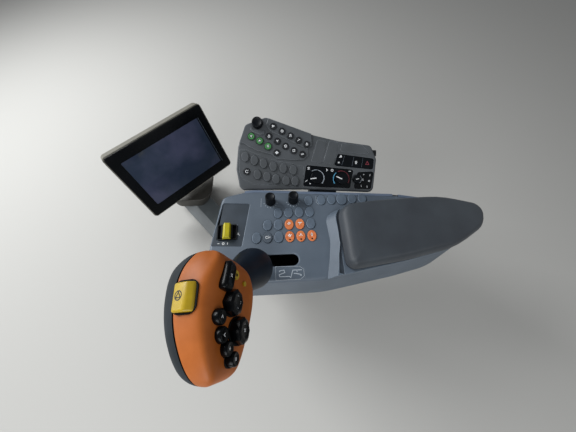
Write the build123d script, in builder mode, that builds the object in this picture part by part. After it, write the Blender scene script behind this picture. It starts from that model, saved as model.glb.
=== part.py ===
from build123d import *
import os
from math import atan, cos, degrees, radians, sin, tan

os.makedirs("parts", exist_ok=True)

# Operator's armrest control console, millimetres.
# +X outboard (the machine's right), +Y forward, +Z up.
# Origin: centre of the seat bracket's four bolts, on its underside.

# Heights
plate_thick = 6
rail_height = 16
pan_bottom = 40
shell_bottom = 75
deck = 165
plateau_rise = 11
rim_rise = 15

# Walls and clearances
wall = 3
fit_gap = 0.4
slide_gap = 0.5
pin_gap = 0.05
soft_gap = 0.3

# Seat bracket and slide
plate_wide = 126
plate_long = 220
bolt_x = 100
bolt_y = 170
bolt_hole = 11
rail_apart = 70
rail_wide = 16
rail_long = 190
channel_wall = 4
carriage_long = 150
carriage_wide = 110
carriage_thick = 6

# Outlines seen from above: x, y and corner radius of each corner
front_y = 263
rear_y = -256
side_draft = 4.5
edge_round = 6
deck_corners = [
    (-89, front_y, 24),
    (-89, 40, 300),
    (-64, -110, 400),
    (-43, -205, 150),
    (-8, rear_y + 10, 40),
    (38, rear_y, 30),
    (62, -190, 150),
    (77, -119, 200),
    (101, 180, 120),
    (88, front_y - 28, 16),
]
plateau_corners = [
    (-120, 47, 0),
    (-54, 32, 60),
    (-20, 26, 60),
    (32, 30, 22),
    (46, 9, 22),
    (49, -60, 100),
    (55, -170, 200),
    (55, -300, 0),
    (-120, -300, 0),
]
rim_back = 15
pad_pocket_corners = [
    (-130, 12, 0),
    (46, 12, 28),
    (90, -300, 0),
    (-130, -300, 0),
]
finger_notch_corners = [
    (-24, 11, 0),
    (-50, 17, 6),
    (-82, 21, 2),
    (-85, 11, 0),
]
front_panel_corners = [
    (74, 233, 6),
    (70, 178, 4),
    (-21, 192, 4),
    (-18, 250, 4),
]
panel_sink = 1.5

# Lever slot in the deck
slot_x = -50
slot_wide = 22
slot_rear = 88
slot_front = 206
slot_round = 1.4
plate_at = (-76, 106)
plate_size = (26, 52)
plate_sink = 0.6
joint_at = (82, -121)

# Lever
pivot_y = 150
pivot_z = 62
pivot_pin_r = 5
hub_r = 11
hub_long = 22
shaft_r = 6
ball_at = (-74, 167, 207)
ball_r = 33
neck_low_r = 32
neck_r = 17
neck_at = (-122, 190)
grip_low = 300
grip_ridge = (191, 366)
grip_face_low = (152, 308)
grip_corner_r = 14
grip_round = 8

# Armrest pad and storage bin
pad_base = 4
pad_thick = 26
pad_round = 8
pad_drop = 14
pad_drop_from = -130
lid_inset = 4
bin_x = (-42, 40)
bin_y = (-160, -24)
bin_depth = 80
bin_wall = 2.5
bin_corner_r = 12
hinge_x = 24
hinge_y = rear_y - 7
hinge_z = 168
knuckle_r = 5
lug_reach = 15
tail_y = hinge_y - 10
pad_corners = [
    (-80, 9, 14),
    (-66, -100, 300),
    (-46, -190, 200),
    (-12, tail_y + 22, 56),
    (34, tail_y, 22),
    (54, -190, 200),
    (49, -60, 300),
    (42, 9, 26),
]
knuckle_long = 12
lug_thick = 6
lid_pin_r = 2.5

# Keys: oval, low
key_x = 22
key_y = 17
key_rise = 1.6
key_pocket = 1.6
key_edge = 0.8
large_grow = 2
key_pitch = 21
key_row = 25.3
first_row_x = -5.5
first_col_y = 60
edge_row_x = 71

# Rotary knobs and engine switch
knob_r = 9.5
knob_high = 22
skirt_r = 11
skirt_high = 4
flutes = 24
flute_r = 0.8
switch_at = (9.5, 221)
switch_size = (32, 38)
switch_deep = 12
paddle_size = (30, 16, 9)
paddle_tilt = 10

# Screen of the 10.1 inch class
screen_wide = 217
screen_high = 136
display_wide = 264
display_high = 190
display_deep = 38
display_corner = 7
housing_grow = 2.5
housing_round = 7
bezel_thick = 3
bezel_round = 1.6
glass_sink = 1
display_facing = 221.7
display_tilt = 25

# Arm, and the pedestal near its end
arm_angle = 41.5
arm_wide = 80
arm_thick = 28
arm_flank = (28, 18)
arm_lip = 3
arm_top = -90
arm_start = (17, 192)
arm_long = 345
pedestal_back = 20
pedestal_aside = 11
pedestal_size = (106, 112)
pedestal_flare = (14, 22)
pedestal_lean = (5, -6)
pedestal_corner = 34
pedestal_top = -52
display_from_pedestal = (-4, -8)
display_z = 67
swivel_r = 24
swivel_disc = 4
tilt_down = 60
tilt_back = 50
tilt_pin_r = 4
block_wide = 32
block_r = 8
block_reach = 20
screen_corner = 2

# Side pod
pod_tilt = 28
pod_at = (112, 60, 159)
pod_thick = 26
pod_face_thick = 8
step_rise = 1.6
slope_rise = 3


def keep(part, label):
    """Labels a finished piece and writes its file."""
    part.label = label
    export_step(part, f"parts/{label}.step")


def normal_axis(plane):
    """The axis through a plane's origin along its normal."""
    return Axis(plane.origin, plane.z_dir)


def rounded(corners, grow=0):
    """A closed face from corners given as x, y and corner radius."""
    with BuildSketch(Plane.XY) as face:
        with BuildLine():
            FilletPolyline(
                *[(x, y) for x, y, r in corners],
                radius=[r for x, y, r in corners],
                close=True,
            )
        make_face()
        if grow:
            offset(amount=grow)
    return face.sketch


# Seat bracket: a steel plate with two rails, bolted to the seat frame
rail_x = rail_apart / 2
with BuildPart() as seat_bracket:
    Box(plate_wide, plate_long, plate_thick, align=(Align.CENTER, Align.CENTER, Align.MIN))
    fillet(seat_bracket.edges().filter_by(Axis.Z), radius=10)
    with GridLocations(bolt_x, bolt_y, 2, 2):
        Hole(radius=bolt_hole / 2)
    with Locations((-rail_x, 0, plate_thick), (rail_x, 0, plate_thick)):
        Box(rail_wide, rail_long, rail_height, align=(Align.CENTER, Align.CENTER, Align.MIN))
keep(seat_bracket.part, "seat_bracket")

# Slide carriage: a plate with two channels that run on the rails
rail_top = plate_thick + rail_height
channel_wide = rail_wide + 2 * (slide_gap + channel_wall)
channel_bottom = plate_thick + 4
with BuildPart() as slide_carriage:
    with Locations((0, 0, pan_bottom)):
        Box(
            carriage_wide,
            carriage_long,
            carriage_thick,
            align=(Align.CENTER, Align.CENTER, Align.MAX),
        )
    with Locations((-rail_x, 0, channel_bottom), (rail_x, 0, channel_bottom)):
        Box(
            channel_wide,
            carriage_long,
            pan_bottom - carriage_thick - channel_bottom,
            align=(Align.CENTER, Align.CENTER, Align.MIN),
        )
    with Locations((-rail_x, 0, channel_bottom), (rail_x, 0, channel_bottom)):
        Box(
            rail_wide + 2 * slide_gap,
            carriage_long,
            rail_top + slide_gap - channel_bottom,
            align=(Align.CENTER, Align.CENTER, Align.MIN),
            mode=Mode.SUBTRACT,
        )
keep(slide_carriage.part, "slide_carriage")

# The shell's outer form: the deck outline with drafted sides
shell_high = deck - shell_bottom
draft_out = shell_high * tan(radians(side_draft))
with BuildPart() as shell_form:
    with BuildSketch(Plane.XY.offset(shell_bottom)):
        add(rounded(deck_corners, draft_out))
    extrude(amount=shell_high, taper=side_draft)

# Lower pan: a shallow tub with drafted sides that closes the shell from below
pan_inset = 18
pan_high = shell_bottom - pan_bottom
pan_draft = degrees(atan(pan_inset / pan_high))
with BuildPart() as lower_pan:
    with BuildSketch(Plane.XY.offset(shell_bottom)):
        add(rounded(deck_corners, draft_out))
    extrude(amount=-pan_high, taper=pan_draft)
    fillet(lower_pan.faces().sort_by(Axis.Z)[0].edges(), radius=2)
    with BuildSketch(Plane.XY.offset(shell_bottom)):
        add(rounded(deck_corners, draft_out - wall))
    extrude(amount=wall - pan_high, taper=pan_draft, mode=Mode.SUBTRACT)
keep(lower_pan.part, "lower_pan")

# Console shell: one moulding, open below, with the raised rear plateau
slot_long = slot_front - slot_rear
slot_y = (slot_front + slot_rear) / 2
bin_size = (bin_x[1] - bin_x[0], bin_y[1] - bin_y[0])
bin_at = ((bin_x[1] + bin_x[0]) / 2, (bin_y[1] + bin_y[0]) / 2)
plateau_top = deck + plateau_rise
crest_corners = [(x, y - rim_back if y > 0 else y, r) for x, y, r in plateau_corners]
lug_out = knuckle_long / 2 + slide_gap + lug_thick
# column, row A to D, of each oval key beside the lever
grey_keys = [
    (0, 2), (1, 2), (2, 2), (3, 2),
    (0, 1), (3, 1), (4, 1),
    (3, 0), (5, 0),
]
orange_keys = [(1, 1), (2, 1), (0, 0), (1, 0), (2, 0)]
symbol_keys = [(4, 0)]
# y of each key in the row along the outboard edge
edge_keys = [60, 34, 13, -29, -50]
large_edge_key = -8


def key_spots(table):
    """Centres on the deck of the keys in a column and row table."""
    return [(first_row_x + key_row * row, first_col_y + key_pitch * column) for column, row in table]


grey_spots = key_spots(grey_keys) + [(edge_row_x, y) for y in edge_keys]
orange_spots = key_spots(orange_keys)
symbol_spots = key_spots(symbol_keys)
large_spots = [(edge_row_x, large_edge_key)]
knob_spots = [(72, 137), (73, 91)]

with BuildPart() as console_shell:
    add(shell_form.part)
    fillet(console_shell.faces().sort_by(Axis.Z)[-1].edges(), radius=edge_round)
    with BuildPart(mode=Mode.PRIVATE) as plateau:
        with BuildSketch(Plane.XY.offset(deck - edge_round - 2)):
            add(rounded(plateau_corners))
        extrude(amount=edge_round + 2)
        with BuildSketch(Plane.XY.offset(deck)):
            add(rounded(plateau_corners))
        with BuildSketch(Plane.XY.offset(deck + rim_rise)):
            add(rounded(crest_corners))
        loft(ruled=True)
        with BuildSketch(Plane.XY.offset(deck - edge_round - 2)):
            add(rounded(deck_corners))
        extrude(amount=rim_rise + edge_round + 2, mode=Mode.INTERSECT)
    add(plateau.part)
    with BuildSketch(Plane.XY.offset(shell_bottom)):
        add(rounded(deck_corners, draft_out - wall))
    extrude(amount=shell_high - wall, taper=side_draft, mode=Mode.SUBTRACT)
    with BuildSketch(Plane.XY.offset(plateau_top)):
        add(rounded(pad_pocket_corners))
    extrude(amount=rim_rise, mode=Mode.SUBTRACT)
    with BuildSketch(Plane.XY.offset(plateau_top - 2)):
        add(rounded(finger_notch_corners))
    extrude(amount=rim_rise, mode=Mode.SUBTRACT)
    with BuildSketch(Plane.XY.offset(deck - wall)):
        with Locations(bin_at):
            RectangleRounded(bin_size[0], bin_size[1], bin_corner_r)
    extrude(amount=rim_rise + wall, mode=Mode.SUBTRACT)
    with BuildSketch(Plane.XY.offset(deck)):
        with Locations((slot_x, slot_y)):
            SlotOverall(slot_long, slot_wide, rotation=90)
    extrude(amount=-2 * wall, mode=Mode.SUBTRACT)
    with BuildSketch(Plane.XY.offset(deck)):
        with Locations((slot_x, slot_y)):
            SlotOverall(slot_long + 2 * slot_round, slot_wide + 2 * slot_round, rotation=90)
    extrude(amount=-slot_round, taper=45, mode=Mode.SUBTRACT)
    with Locations((joint_at[0], joint_at[1], deck)):
        Box(30, 1, 2 * plate_sink, mode=Mode.SUBTRACT)
    with BuildSketch(Plane.XY.offset(deck)):
        add(rounded(front_panel_corners))
        with Locations(switch_at):
            RectangleRounded(*switch_size, 3, mode=Mode.SUBTRACT)
    extrude(amount=-panel_sink, mode=Mode.SUBTRACT)
    with BuildSketch(Plane.XY.offset(deck)):
        with Locations(plate_at):
            RectangleRounded(*plate_size, 5)
            RectangleRounded(plate_size[0] - 3, plate_size[1] - 3, 4, mode=Mode.SUBTRACT)
    extrude(amount=-plate_sink, mode=Mode.SUBTRACT)
    with BuildSketch(Plane.XY.offset(deck)):
        with Locations(switch_at):
            RectangleRounded(*switch_size, 3)
    extrude(amount=-2 * wall, mode=Mode.SUBTRACT)
    with BuildSketch(Plane.XY.offset(deck)):
        with Locations(*grey_spots, *orange_spots, *symbol_spots):
            Ellipse(key_x / 2 + fit_gap, key_y / 2 + fit_gap)
        with Locations(*large_spots):
            Ellipse(key_x / 2 + large_grow + fit_gap, key_y / 2 + large_grow + fit_gap)
    extrude(amount=-key_pocket, mode=Mode.SUBTRACT)
    with BuildSketch(Plane.YZ.offset(hinge_x)):
        with Locations((hinge_y, hinge_z)):
            Circle(knuckle_r)
            Rectangle(lug_reach, 2 * knuckle_r, align=(Align.MIN, Align.CENTER))
    extrude(amount=lug_out, both=True)
    with Locations((hinge_x, hinge_y, hinge_z)):
        Box(
            knuckle_long + 2 * slide_gap,
            2 * (knuckle_r + slide_gap),
            4 * knuckle_r,
            mode=Mode.SUBTRACT,
        )
        Cylinder(lid_pin_r + pin_gap, 2 * lug_out, rotation=(0, 90, 0), mode=Mode.SUBTRACT)
keep(console_shell.part, "console_shell")

# Keys on the deck
for label, spots, grow in (
    ("keys_grey", grey_spots, 0),
    ("keys_large", large_spots, large_grow),
    ("keys_orange", orange_spots, 0),
    ("key_symbol", symbol_spots, 0),
):
    with BuildPart() as keys:
        with BuildSketch(Plane.XY.offset(deck - key_pocket)):
            with Locations(*spots):
                Ellipse(key_x / 2 + grow, key_y / 2 + grow)
        extrude(amount=key_pocket + key_rise)
        fillet(keys.faces().group_by(Axis.Z)[-1].edges(), radius=key_edge)
    keep(keys.part, label)

# Two rotary knobs, each a fluted barrel on a plain skirt
with BuildPart() as rotary_knobs:
    with BuildSketch(Plane.XY.offset(deck)):
        with Locations(*knob_spots):
            Circle(skirt_r)
    extrude(amount=skirt_high)
    with BuildSketch(Plane.XY.offset(deck + skirt_high)):
        with Locations(*knob_spots):
            Circle(knob_r)
    extrude(amount=knob_high - skirt_high)
    chamfer(rotary_knobs.faces().group_by(Axis.Z)[-1].edges(), length=1.2)
    with BuildSketch(Plane.XY.offset(deck + skirt_high)):
        for spot in knob_spots:
            with Locations(spot):
                with PolarLocations(knob_r, flutes):
                    Circle(flute_r)
    extrude(amount=knob_high, mode=Mode.SUBTRACT)
keep(rotary_knobs.part, "rotary_knobs")

# Engine switch: a black body let into the deck with a tilting yellow paddle
paddle_low = deck + 3
switch_inner = (switch_size[0] - 2 * fit_gap, switch_size[1] - 2 * fit_gap)
with BuildPart() as switch_frame:
    with BuildSketch(Plane.XY.offset(deck - switch_deep)):
        with Locations(switch_at):
            RectangleRounded(*switch_inner, 2.5)
    extrude(amount=switch_deep + 1)
    with BuildSketch(Plane.XY.offset(deck - switch_deep + wall)):
        with Locations(switch_at):
            RectangleRounded(switch_inner[0] - 3, switch_inner[1] - 3, 1.5)
    extrude(amount=switch_deep, mode=Mode.SUBTRACT)
    with BuildSketch(Plane.XY.offset(deck - switch_deep)):
        with Locations(switch_at):
            RectangleRounded(switch_inner[0] - 6, paddle_size[1] + 6, 2)
    extrude(amount=paddle_low - deck + switch_deep)
keep(switch_frame.part, "switch_frame")

with BuildPart() as switch_paddle:
    with BuildSketch(Plane.YZ.offset(switch_at[0] - paddle_size[0] / 2)):
        with Locations(Location((switch_at[1], paddle_low - 2, 0), paddle_tilt)):
            Trapezoid(paddle_size[1], paddle_size[2] + 2, 75, align=(Align.CENTER, Align.MIN))
        Rectangle(1000, paddle_low, align=(Align.CENTER, Align.MIN), mode=Mode.SUBTRACT)
    extrude(amount=paddle_size[0])
    fillet(switch_paddle.faces().sort_by(Axis.Z)[-1].edges(), radius=2)
keep(switch_paddle.part, "switch_paddle")

# Storage bin: an open tub that hangs in the plateau
with BuildPart() as storage_bin:
    with BuildSketch(Plane.XY.offset(plateau_top)):
        with Locations(bin_at):
            RectangleRounded(bin_size[0] - 2 * fit_gap, bin_size[1] - 2 * fit_gap, bin_corner_r)
    extrude(amount=-bin_depth)
    offset(amount=-bin_wall, openings=storage_bin.faces().sort_by(Axis.Z)[-1])
keep(storage_bin.part, "storage_bin")

# Lever bracket: two ears on the pan's floor
pan_floor = pan_bottom + wall
ear_thick = 5
ear_x = hub_long / 2 + 1 + ear_thick / 2
with BuildPart() as lever_bracket:
    with Locations((slot_x, pivot_y, pan_floor)):
        Box(42, 40, 4, align=(Align.CENTER, Align.CENTER, Align.MIN))
    with Locations((slot_x - ear_x, pivot_y, pan_floor), (slot_x + ear_x, pivot_y, pan_floor)):
        Box(ear_thick, 30, pivot_z + 12 - pan_floor, align=(Align.CENTER, Align.CENTER, Align.MIN))
    with Locations(Plane.YZ.offset(slot_x - 30)):
        with Locations((pivot_y, pivot_z)):
            Cylinder(
                pivot_pin_r + pin_gap,
                60,
                align=(Align.CENTER, Align.CENTER, Align.MIN),
                mode=Mode.SUBTRACT,
            )
keep(lever_bracket.part, "lever_bracket")

pin_long = 2 * (ear_x + ear_thick / 2) + 4
with BuildPart() as lever_pin:
    with BuildSketch(Plane.YZ.offset(slot_x - pin_long / 2)):
        with Locations((pivot_y, pivot_z)):
            Circle(pivot_pin_r)
    extrude(amount=pin_long)
keep(lever_pin.part, "lever_pin")

# Lever shaft: hub, upright rod and the bend towards the operator
ball_point = Vector(*ball_at)
bend_point = Vector(slot_x, pivot_y + (ball_at[1] - pivot_y) * 0.7, deck - 5)
with BuildPart() as lever_shaft:
    with BuildSketch(Plane.YZ.offset(slot_x - hub_long / 2)):
        with Locations((pivot_y, pivot_z)):
            Circle(hub_r)
    extrude(amount=hub_long)
    with BuildLine() as rod_path:
        FilletPolyline((slot_x, pivot_y, pivot_z), bend_point, ball_point, radius=30)
    with BuildSketch(Plane(origin=rod_path.line @ 0, z_dir=rod_path.line % 0)):
        Circle(shaft_r)
    sweep()
    with BuildSketch(Plane.YZ.offset(slot_x - hub_long / 2)):
        with Locations((pivot_y, pivot_z)):
            Circle(pivot_pin_r + pin_gap)
    extrude(amount=hub_long, mode=Mode.SUBTRACT)
    with Locations(ball_at):
        Sphere(ball_r, mode=Mode.SUBTRACT)
keep(lever_shaft.part, "lever_shaft")

# Lever ball with the neck that carries the grip
neck_top = Vector(*neck_at, grip_low + 4)
with BuildPart() as lever_ball:
    with Locations(ball_at):
        Sphere(ball_r)
    neck_axis = neck_top - ball_point
    with BuildSketch(Plane(origin=ball_point, z_dir=neck_axis)):
        Circle(neck_low_r)
    with BuildSketch(Plane(origin=neck_top, z_dir=neck_axis)):
        Circle(neck_r)
    loft()
    split(bisect_by=Plane.XY.offset(grip_low), keep=Keep.BOTTOM)
keep(lever_ball.part, "lever_ball")

# Grip: plan outline cut by the side profile, split into palm shell and button face
grip_plan = [
    (-84, 184), (-116, 153), (-190, 157), (-213, 180),
    (-211, 206), (-188, 231), (-150, 242), (-106, 240), (-84, 222),
]
grip_side = [
    grip_face_low, (166, grip_low), (228, grip_low), (243, 314),
    (240, 338), (222, 357), grip_ridge,
]
split_point = (224, 354)
split_lean = 24
face_point = Vector(-150, grip_ridge[0] - 5, grip_ridge[1] - 7.4)
face_rise = Vector(0, grip_ridge[0] - grip_face_low[0], grip_ridge[1] - grip_face_low[1])
button_plane = Plane(origin=face_point, x_dir=(1, 0, 0), z_dir=Vector(1, 0, 0).cross(face_rise))
split_plane = Plane(
    origin=(0, split_point[0], split_point[1]),
    x_dir=(1, 0, 0),
    z_dir=(0, cos(radians(split_lean)), -sin(radians(split_lean))),
)
stop_plane = Plane(origin=(-138, 209, 361), x_dir=(1, 0, 0), z_dir=(0, 0.287, 0.958))
button_sink = 2.5
button_reach = 30
button_edge = 1

# x across the face, y up the face, radius, rise
grip_keys_table = [(-6, -11, 7, 7), (-22, -15, 7, 7), (-33.5, -22, 5.8, 7), (-43, -30, 5.8, 7)]
four_way_table = [(7, -29, 12.8, 8), (-18.5, -40, 12.8, 8)]
yellow_table = [(36, -30.5, 4.4, 5), (29, -45, 3, 3)]
rocker_at = (33, -18)
rocker_size = (30, 12)
rocker_turn = -14
rocker_rise = 8
stop_size = (27, 22)
stop_corner = 6
stop_rise = 7
stop_sink = 4
collar_grow = 2.2
collar_rise = 1.5

with BuildPart() as grip_form:
    with BuildSketch(Plane.XY.offset(grip_low)) as grip_outline:
        Polygon(*grip_plan, align=None)
        fillet(grip_outline.vertices(), radius=grip_corner_r)
    extrude(amount=grip_ridge[1] - grip_low)
    with BuildSketch(Plane.YZ) as grip_profile:
        Polygon(*grip_side, align=None)
        fillet(grip_profile.vertices(), radius=grip_round)
    extrude(amount=-1000, mode=Mode.INTERSECT)

with BuildPart() as grip_pockets:
    with BuildSketch(button_plane.offset(-button_sink)):
        for x, y, r, rise in grip_keys_table + four_way_table + yellow_table:
            with Locations((x, y)):
                Circle(r + fit_gap)
        with Locations(Location(rocker_at, rocker_turn)):
            RectangleRounded(rocker_size[0] + 2 * fit_gap, rocker_size[1] + 2 * fit_gap, 4)
    extrude(amount=button_reach)
    with BuildSketch(stop_plane.offset(-stop_sink)):
        RectangleRounded(
            stop_size[0] + 2 * (collar_grow + fit_gap),
            stop_size[1] + 2 * (collar_grow + fit_gap),
            stop_corner + collar_grow,
        )
    extrude(amount=button_reach)

with BuildPart() as grip_face:
    add(grip_form.part)
    split(bisect_by=split_plane, keep=Keep.BOTTOM)
    add(grip_pockets.part, mode=Mode.SUBTRACT)
keep(grip_face.part, "grip_face")

with BuildPart() as grip_shell:
    add(grip_form.part)
    split(bisect_by=split_plane, keep=Keep.TOP)
    add(grip_pockets.part, mode=Mode.SUBTRACT)
keep(grip_shell.part, "grip_shell")

for label, table in (
    ("grip_keys", grip_keys_table),
    ("grip_four_ways", four_way_table),
    ("grip_yellow_keys", yellow_table),
):
    with BuildPart() as buttons:
        for x, y, r, rise in table:
            with BuildPart(mode=Mode.PRIVATE) as button:
                with BuildSketch(button_plane.offset(-button_sink)):
                    with Locations((x, y)):
                        Circle(r)
                extrude(amount=button_sink + rise)
                fillet(button.faces().sort_by(normal_axis(button_plane))[-1].edges(), radius=button_edge)
            add(button.part)
    keep(buttons.part, label)

with BuildPart() as grip_rocker:
    with BuildSketch(button_plane.offset(-button_sink)):
        with Locations(Location(rocker_at, rocker_turn)):
            RectangleRounded(*rocker_size, 4)
    extrude(amount=button_sink + rocker_rise)
    fillet(grip_rocker.faces().sort_by(normal_axis(button_plane))[-1].edges(), radius=2)
keep(grip_rocker.part, "grip_rocker")

with BuildPart() as quick_stop:
    with BuildSketch(stop_plane.offset(-stop_sink)):
        RectangleRounded(*stop_size, stop_corner)
    extrude(amount=stop_sink + stop_rise)
    fillet(quick_stop.faces().sort_by(normal_axis(stop_plane))[-1].edges(), radius=2.5)
keep(quick_stop.part, "quick_stop")

with BuildPart() as stop_collar:
    with BuildSketch(stop_plane.offset(-stop_sink)):
        RectangleRounded(
            stop_size[0] + 2 * collar_grow,
            stop_size[1] + 2 * collar_grow,
            stop_corner + collar_grow,
        )
        RectangleRounded(
            stop_size[0] + 2 * fit_gap,
            stop_size[1] + 2 * fit_gap,
            stop_corner + fit_gap,
            mode=Mode.SUBTRACT,
        )
    extrude(amount=stop_sink + collar_rise)
keep(stop_collar.part, "stop_collar")

# Armrest lid: a moulded base with a hinge knuckle at its tail, and the pad on it
lid_low = plateau_top + soft_gap
with BuildPart() as lid_base:
    with BuildSketch(Plane.XY.offset(lid_low)):
        add(rounded(pad_corners, -lid_inset))
    extrude(amount=pad_base)
    with Locations((hinge_x, hinge_y, hinge_z)):
        Cylinder(knuckle_r, knuckle_long, rotation=(0, 90, 0))
        Box(
            knuckle_long,
            2 * knuckle_r,
            lid_low - hinge_z,
            align=(Align.CENTER, Align.CENTER, Align.MIN),
        )
        Cylinder(lid_pin_r + pin_gap, knuckle_long, rotation=(0, 90, 0), mode=Mode.SUBTRACT)
keep(lid_base.part, "lid_base")

pad_low = lid_low + pad_base
pad_top = pad_low + pad_thick
with BuildPart() as armrest_pad:
    with BuildSketch(Plane.XY.offset(pad_low)):
        add(rounded(pad_corners))
    extrude(amount=pad_thick)
    with BuildSketch(Plane.YZ):
        with BuildLine():
            FilletPolyline(
                (100, pad_low),
                (100, pad_top),
                (pad_drop_from, pad_top),
                (tail_y, pad_top - pad_drop),
                (tail_y, pad_low),
                radius=[0, 0, 400, 0, 0],
                close=True,
            )
        make_face()
    extrude(amount=200, both=True, mode=Mode.INTERSECT)
    fillet(
        armrest_pad.edges().filter_by_position(Axis.Z, pad_top - pad_drop - 0.1, pad_top + 0.1)
        - armrest_pad.edges().filter_by(Axis.X).filter_by_position(Axis.Y, tail_y + 1, 0)
        - armrest_pad.edges().filter_by(Axis.Z),
        radius=pad_round,
    )
keep(armrest_pad.part, "armrest_pad")

with BuildPart() as lid_pin:
    with Locations((hinge_x, hinge_y, hinge_z)):
        Cylinder(lid_pin_r, 2 * lug_out, rotation=(0, 90, 0))
keep(lid_pin.part, "lid_pin")

# Display arm: one box section bent down and out from under the pan
arm_out = Vector(cos(radians(arm_angle)), sin(radians(arm_angle)), 0)
arm_plane = Plane(
    origin=(arm_start[0], arm_start[1], 0),
    x_dir=arm_out,
    z_dir=arm_out.cross(Vector(0, 0, 1)),
)
arm_high = pan_bottom - arm_thick / 2
arm_low = arm_top - arm_thick / 2
with BuildPart() as display_arm:
    with BuildLine(arm_plane) as arm_path:
        FilletPolyline((-30, arm_high), (24, arm_high), (150, arm_low), (arm_long, arm_low), radius=40)
    with BuildSketch(Plane(origin=arm_path.line @ 0, x_dir=arm_plane.z_dir, z_dir=arm_path.line % 0)):
        Polygon(
            (-arm_wide / 2, arm_flank[1] - arm_thick / 2),
            (arm_flank[0] - arm_wide / 2, -arm_thick / 2),
            (arm_wide / 2 - arm_lip, -arm_thick / 2),
            (arm_wide / 2, arm_lip - arm_thick / 2),
            (arm_wide / 2, arm_thick / 2),
            (-arm_wide / 2, arm_thick / 2),
            align=None,
        )
    sweep()
keep(display_arm.part, "display_arm")

# Display placing
right_dir = Vector(-sin(radians(display_facing)), cos(radians(display_facing)), 0)
level_out = Vector(cos(radians(display_facing)), sin(radians(display_facing)), 0)
face_dir = level_out * cos(radians(display_tilt)) + Vector(0, 0, 1) * sin(radians(display_tilt))
pedestal_spot = arm_plane.from_local_coords((arm_long - pedestal_back, 0, pedestal_aside))
display_at = (
    pedestal_spot.X + display_from_pedestal[0],
    pedestal_spot.Y + display_from_pedestal[1],
    display_z,
)
display_plane = Plane(origin=display_at, x_dir=right_dir, z_dir=face_dir)
tilt_axis_at = display_plane.from_local_coords((0, -tilt_down, -tilt_back))
head_at = (tilt_axis_at.X, tilt_axis_at.Y)

# Pedestal: a moulding on the arm's end that flares upwards
with BuildPart() as pedestal:
    with BuildSketch(Plane.XY.offset(arm_top)):
        with Locations((pedestal_spot.X, pedestal_spot.Y)):
            RectangleRounded(*pedestal_size, pedestal_corner)
    with BuildSketch(Plane.XY.offset(pedestal_top)):
        with Locations((pedestal_spot.X + pedestal_lean[0], pedestal_spot.Y + pedestal_lean[1])):
            RectangleRounded(
                pedestal_size[0] + pedestal_flare[0],
                pedestal_size[1] + pedestal_flare[1],
                pedestal_corner + 4,
            )
    loft()
    fillet(pedestal.faces().sort_by(Axis.Z)[-1].edges(), radius=2)
keep(pedestal.part, "pedestal")

# Swivel yoke: a disc on the pedestal with two ears for the tilt pin
yoke_plane = Plane(origin=(head_at[0], head_at[1], 0), x_dir=right_dir, z_dir=(0, 0, 1))
yoke_ear_x = 24
yoke_ear_thick = 6
with BuildPart() as swivel_yoke:
    with BuildSketch(Plane.XY.offset(pedestal_top + soft_gap)):
        with Locations(head_at):
            Circle(swivel_r)
    extrude(amount=swivel_disc)
    for side in (-1, 1):
        ear_plane = Plane(
            origin=yoke_plane.from_local_coords((side * yoke_ear_x, 0, tilt_axis_at.Z)),
            x_dir=level_out,
            z_dir=-right_dir,
        )
        with BuildSketch(ear_plane.offset(-yoke_ear_thick / 2)):
            Circle(9)
            with Locations((0, -(tilt_axis_at.Z - pedestal_top - swivel_disc) / 2)):
                Rectangle(18, tilt_axis_at.Z - pedestal_top - swivel_disc)
            Circle(tilt_pin_r + pin_gap, mode=Mode.SUBTRACT)
        extrude(amount=yoke_ear_thick)
keep(swivel_yoke.part, "swivel_yoke")

pin_plane = Plane(origin=tilt_axis_at, z_dir=right_dir)
with BuildPart() as tilt_pin:
    with BuildSketch(pin_plane.offset(-yoke_ear_x - yoke_ear_thick)):
        Circle(tilt_pin_r)
    extrude(amount=2 * (yoke_ear_x + yoke_ear_thick))
keep(tilt_pin.part, "tilt_pin")

# Display: back housing with a hinge block, bezel and screen glass
with BuildPart() as display_back:
    with BuildSketch(display_plane.offset(-bezel_thick)):
        RectangleRounded(
            display_wide + 2 * housing_grow,
            display_high + 2 * housing_grow,
            display_corner + housing_grow,
        )
    extrude(amount=bezel_thick - display_deep)
    fillet(display_back.faces().sort_by(normal_axis(display_plane))[0].edges(), radius=housing_round)
    with BuildSketch(Plane(origin=tilt_axis_at, x_dir=face_dir, z_dir=right_dir).offset(-block_wide / 2)):
        Circle(block_r)
        with Locations((block_reach / 2, 0)):
            Rectangle(block_reach, 2 * block_r)
        Circle(tilt_pin_r + pin_gap, mode=Mode.SUBTRACT)
    extrude(amount=block_wide)
keep(display_back.part, "display_back")

with BuildPart() as display_bezel:
    with BuildSketch(display_plane.offset(-bezel_thick)):
        RectangleRounded(display_wide, display_high, display_corner)
    extrude(amount=bezel_thick)
    fillet(display_bezel.faces().sort_by(normal_axis(display_plane))[-1].edges(), radius=bezel_round)
    with BuildSketch(display_plane):
        RectangleRounded(screen_wide + 2 * fit_gap, screen_high + 2 * fit_gap, screen_corner + fit_gap)
    extrude(amount=-bezel_thick, mode=Mode.SUBTRACT)
keep(display_bezel.part, "display_bezel")

with BuildPart() as display_screen:
    with BuildSketch(display_plane.offset(-bezel_thick)):
        RectangleRounded(screen_wide, screen_high, screen_corner)
    extrude(amount=bezel_thick - glass_sink)
keep(display_screen.part, "display_screen")

# Side pod placing: u across the pod, outboard and up; v forward
pod_plane = Plane(
    origin=pod_at,
    x_dir=(cos(radians(pod_tilt)), 0, sin(radians(pod_tilt))),
    z_dir=(-sin(radians(pod_tilt)), 0, cos(radians(pod_tilt))),
)
pod_outline = [
    (146, 80), (132, 124), (88, 141), (40, 147), (-4, 141), (-8, 5),
    (-20, -143), (50, -153), (80, -142), (92, -72), (106, -20),
]
pod_corner_r = 12
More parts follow.
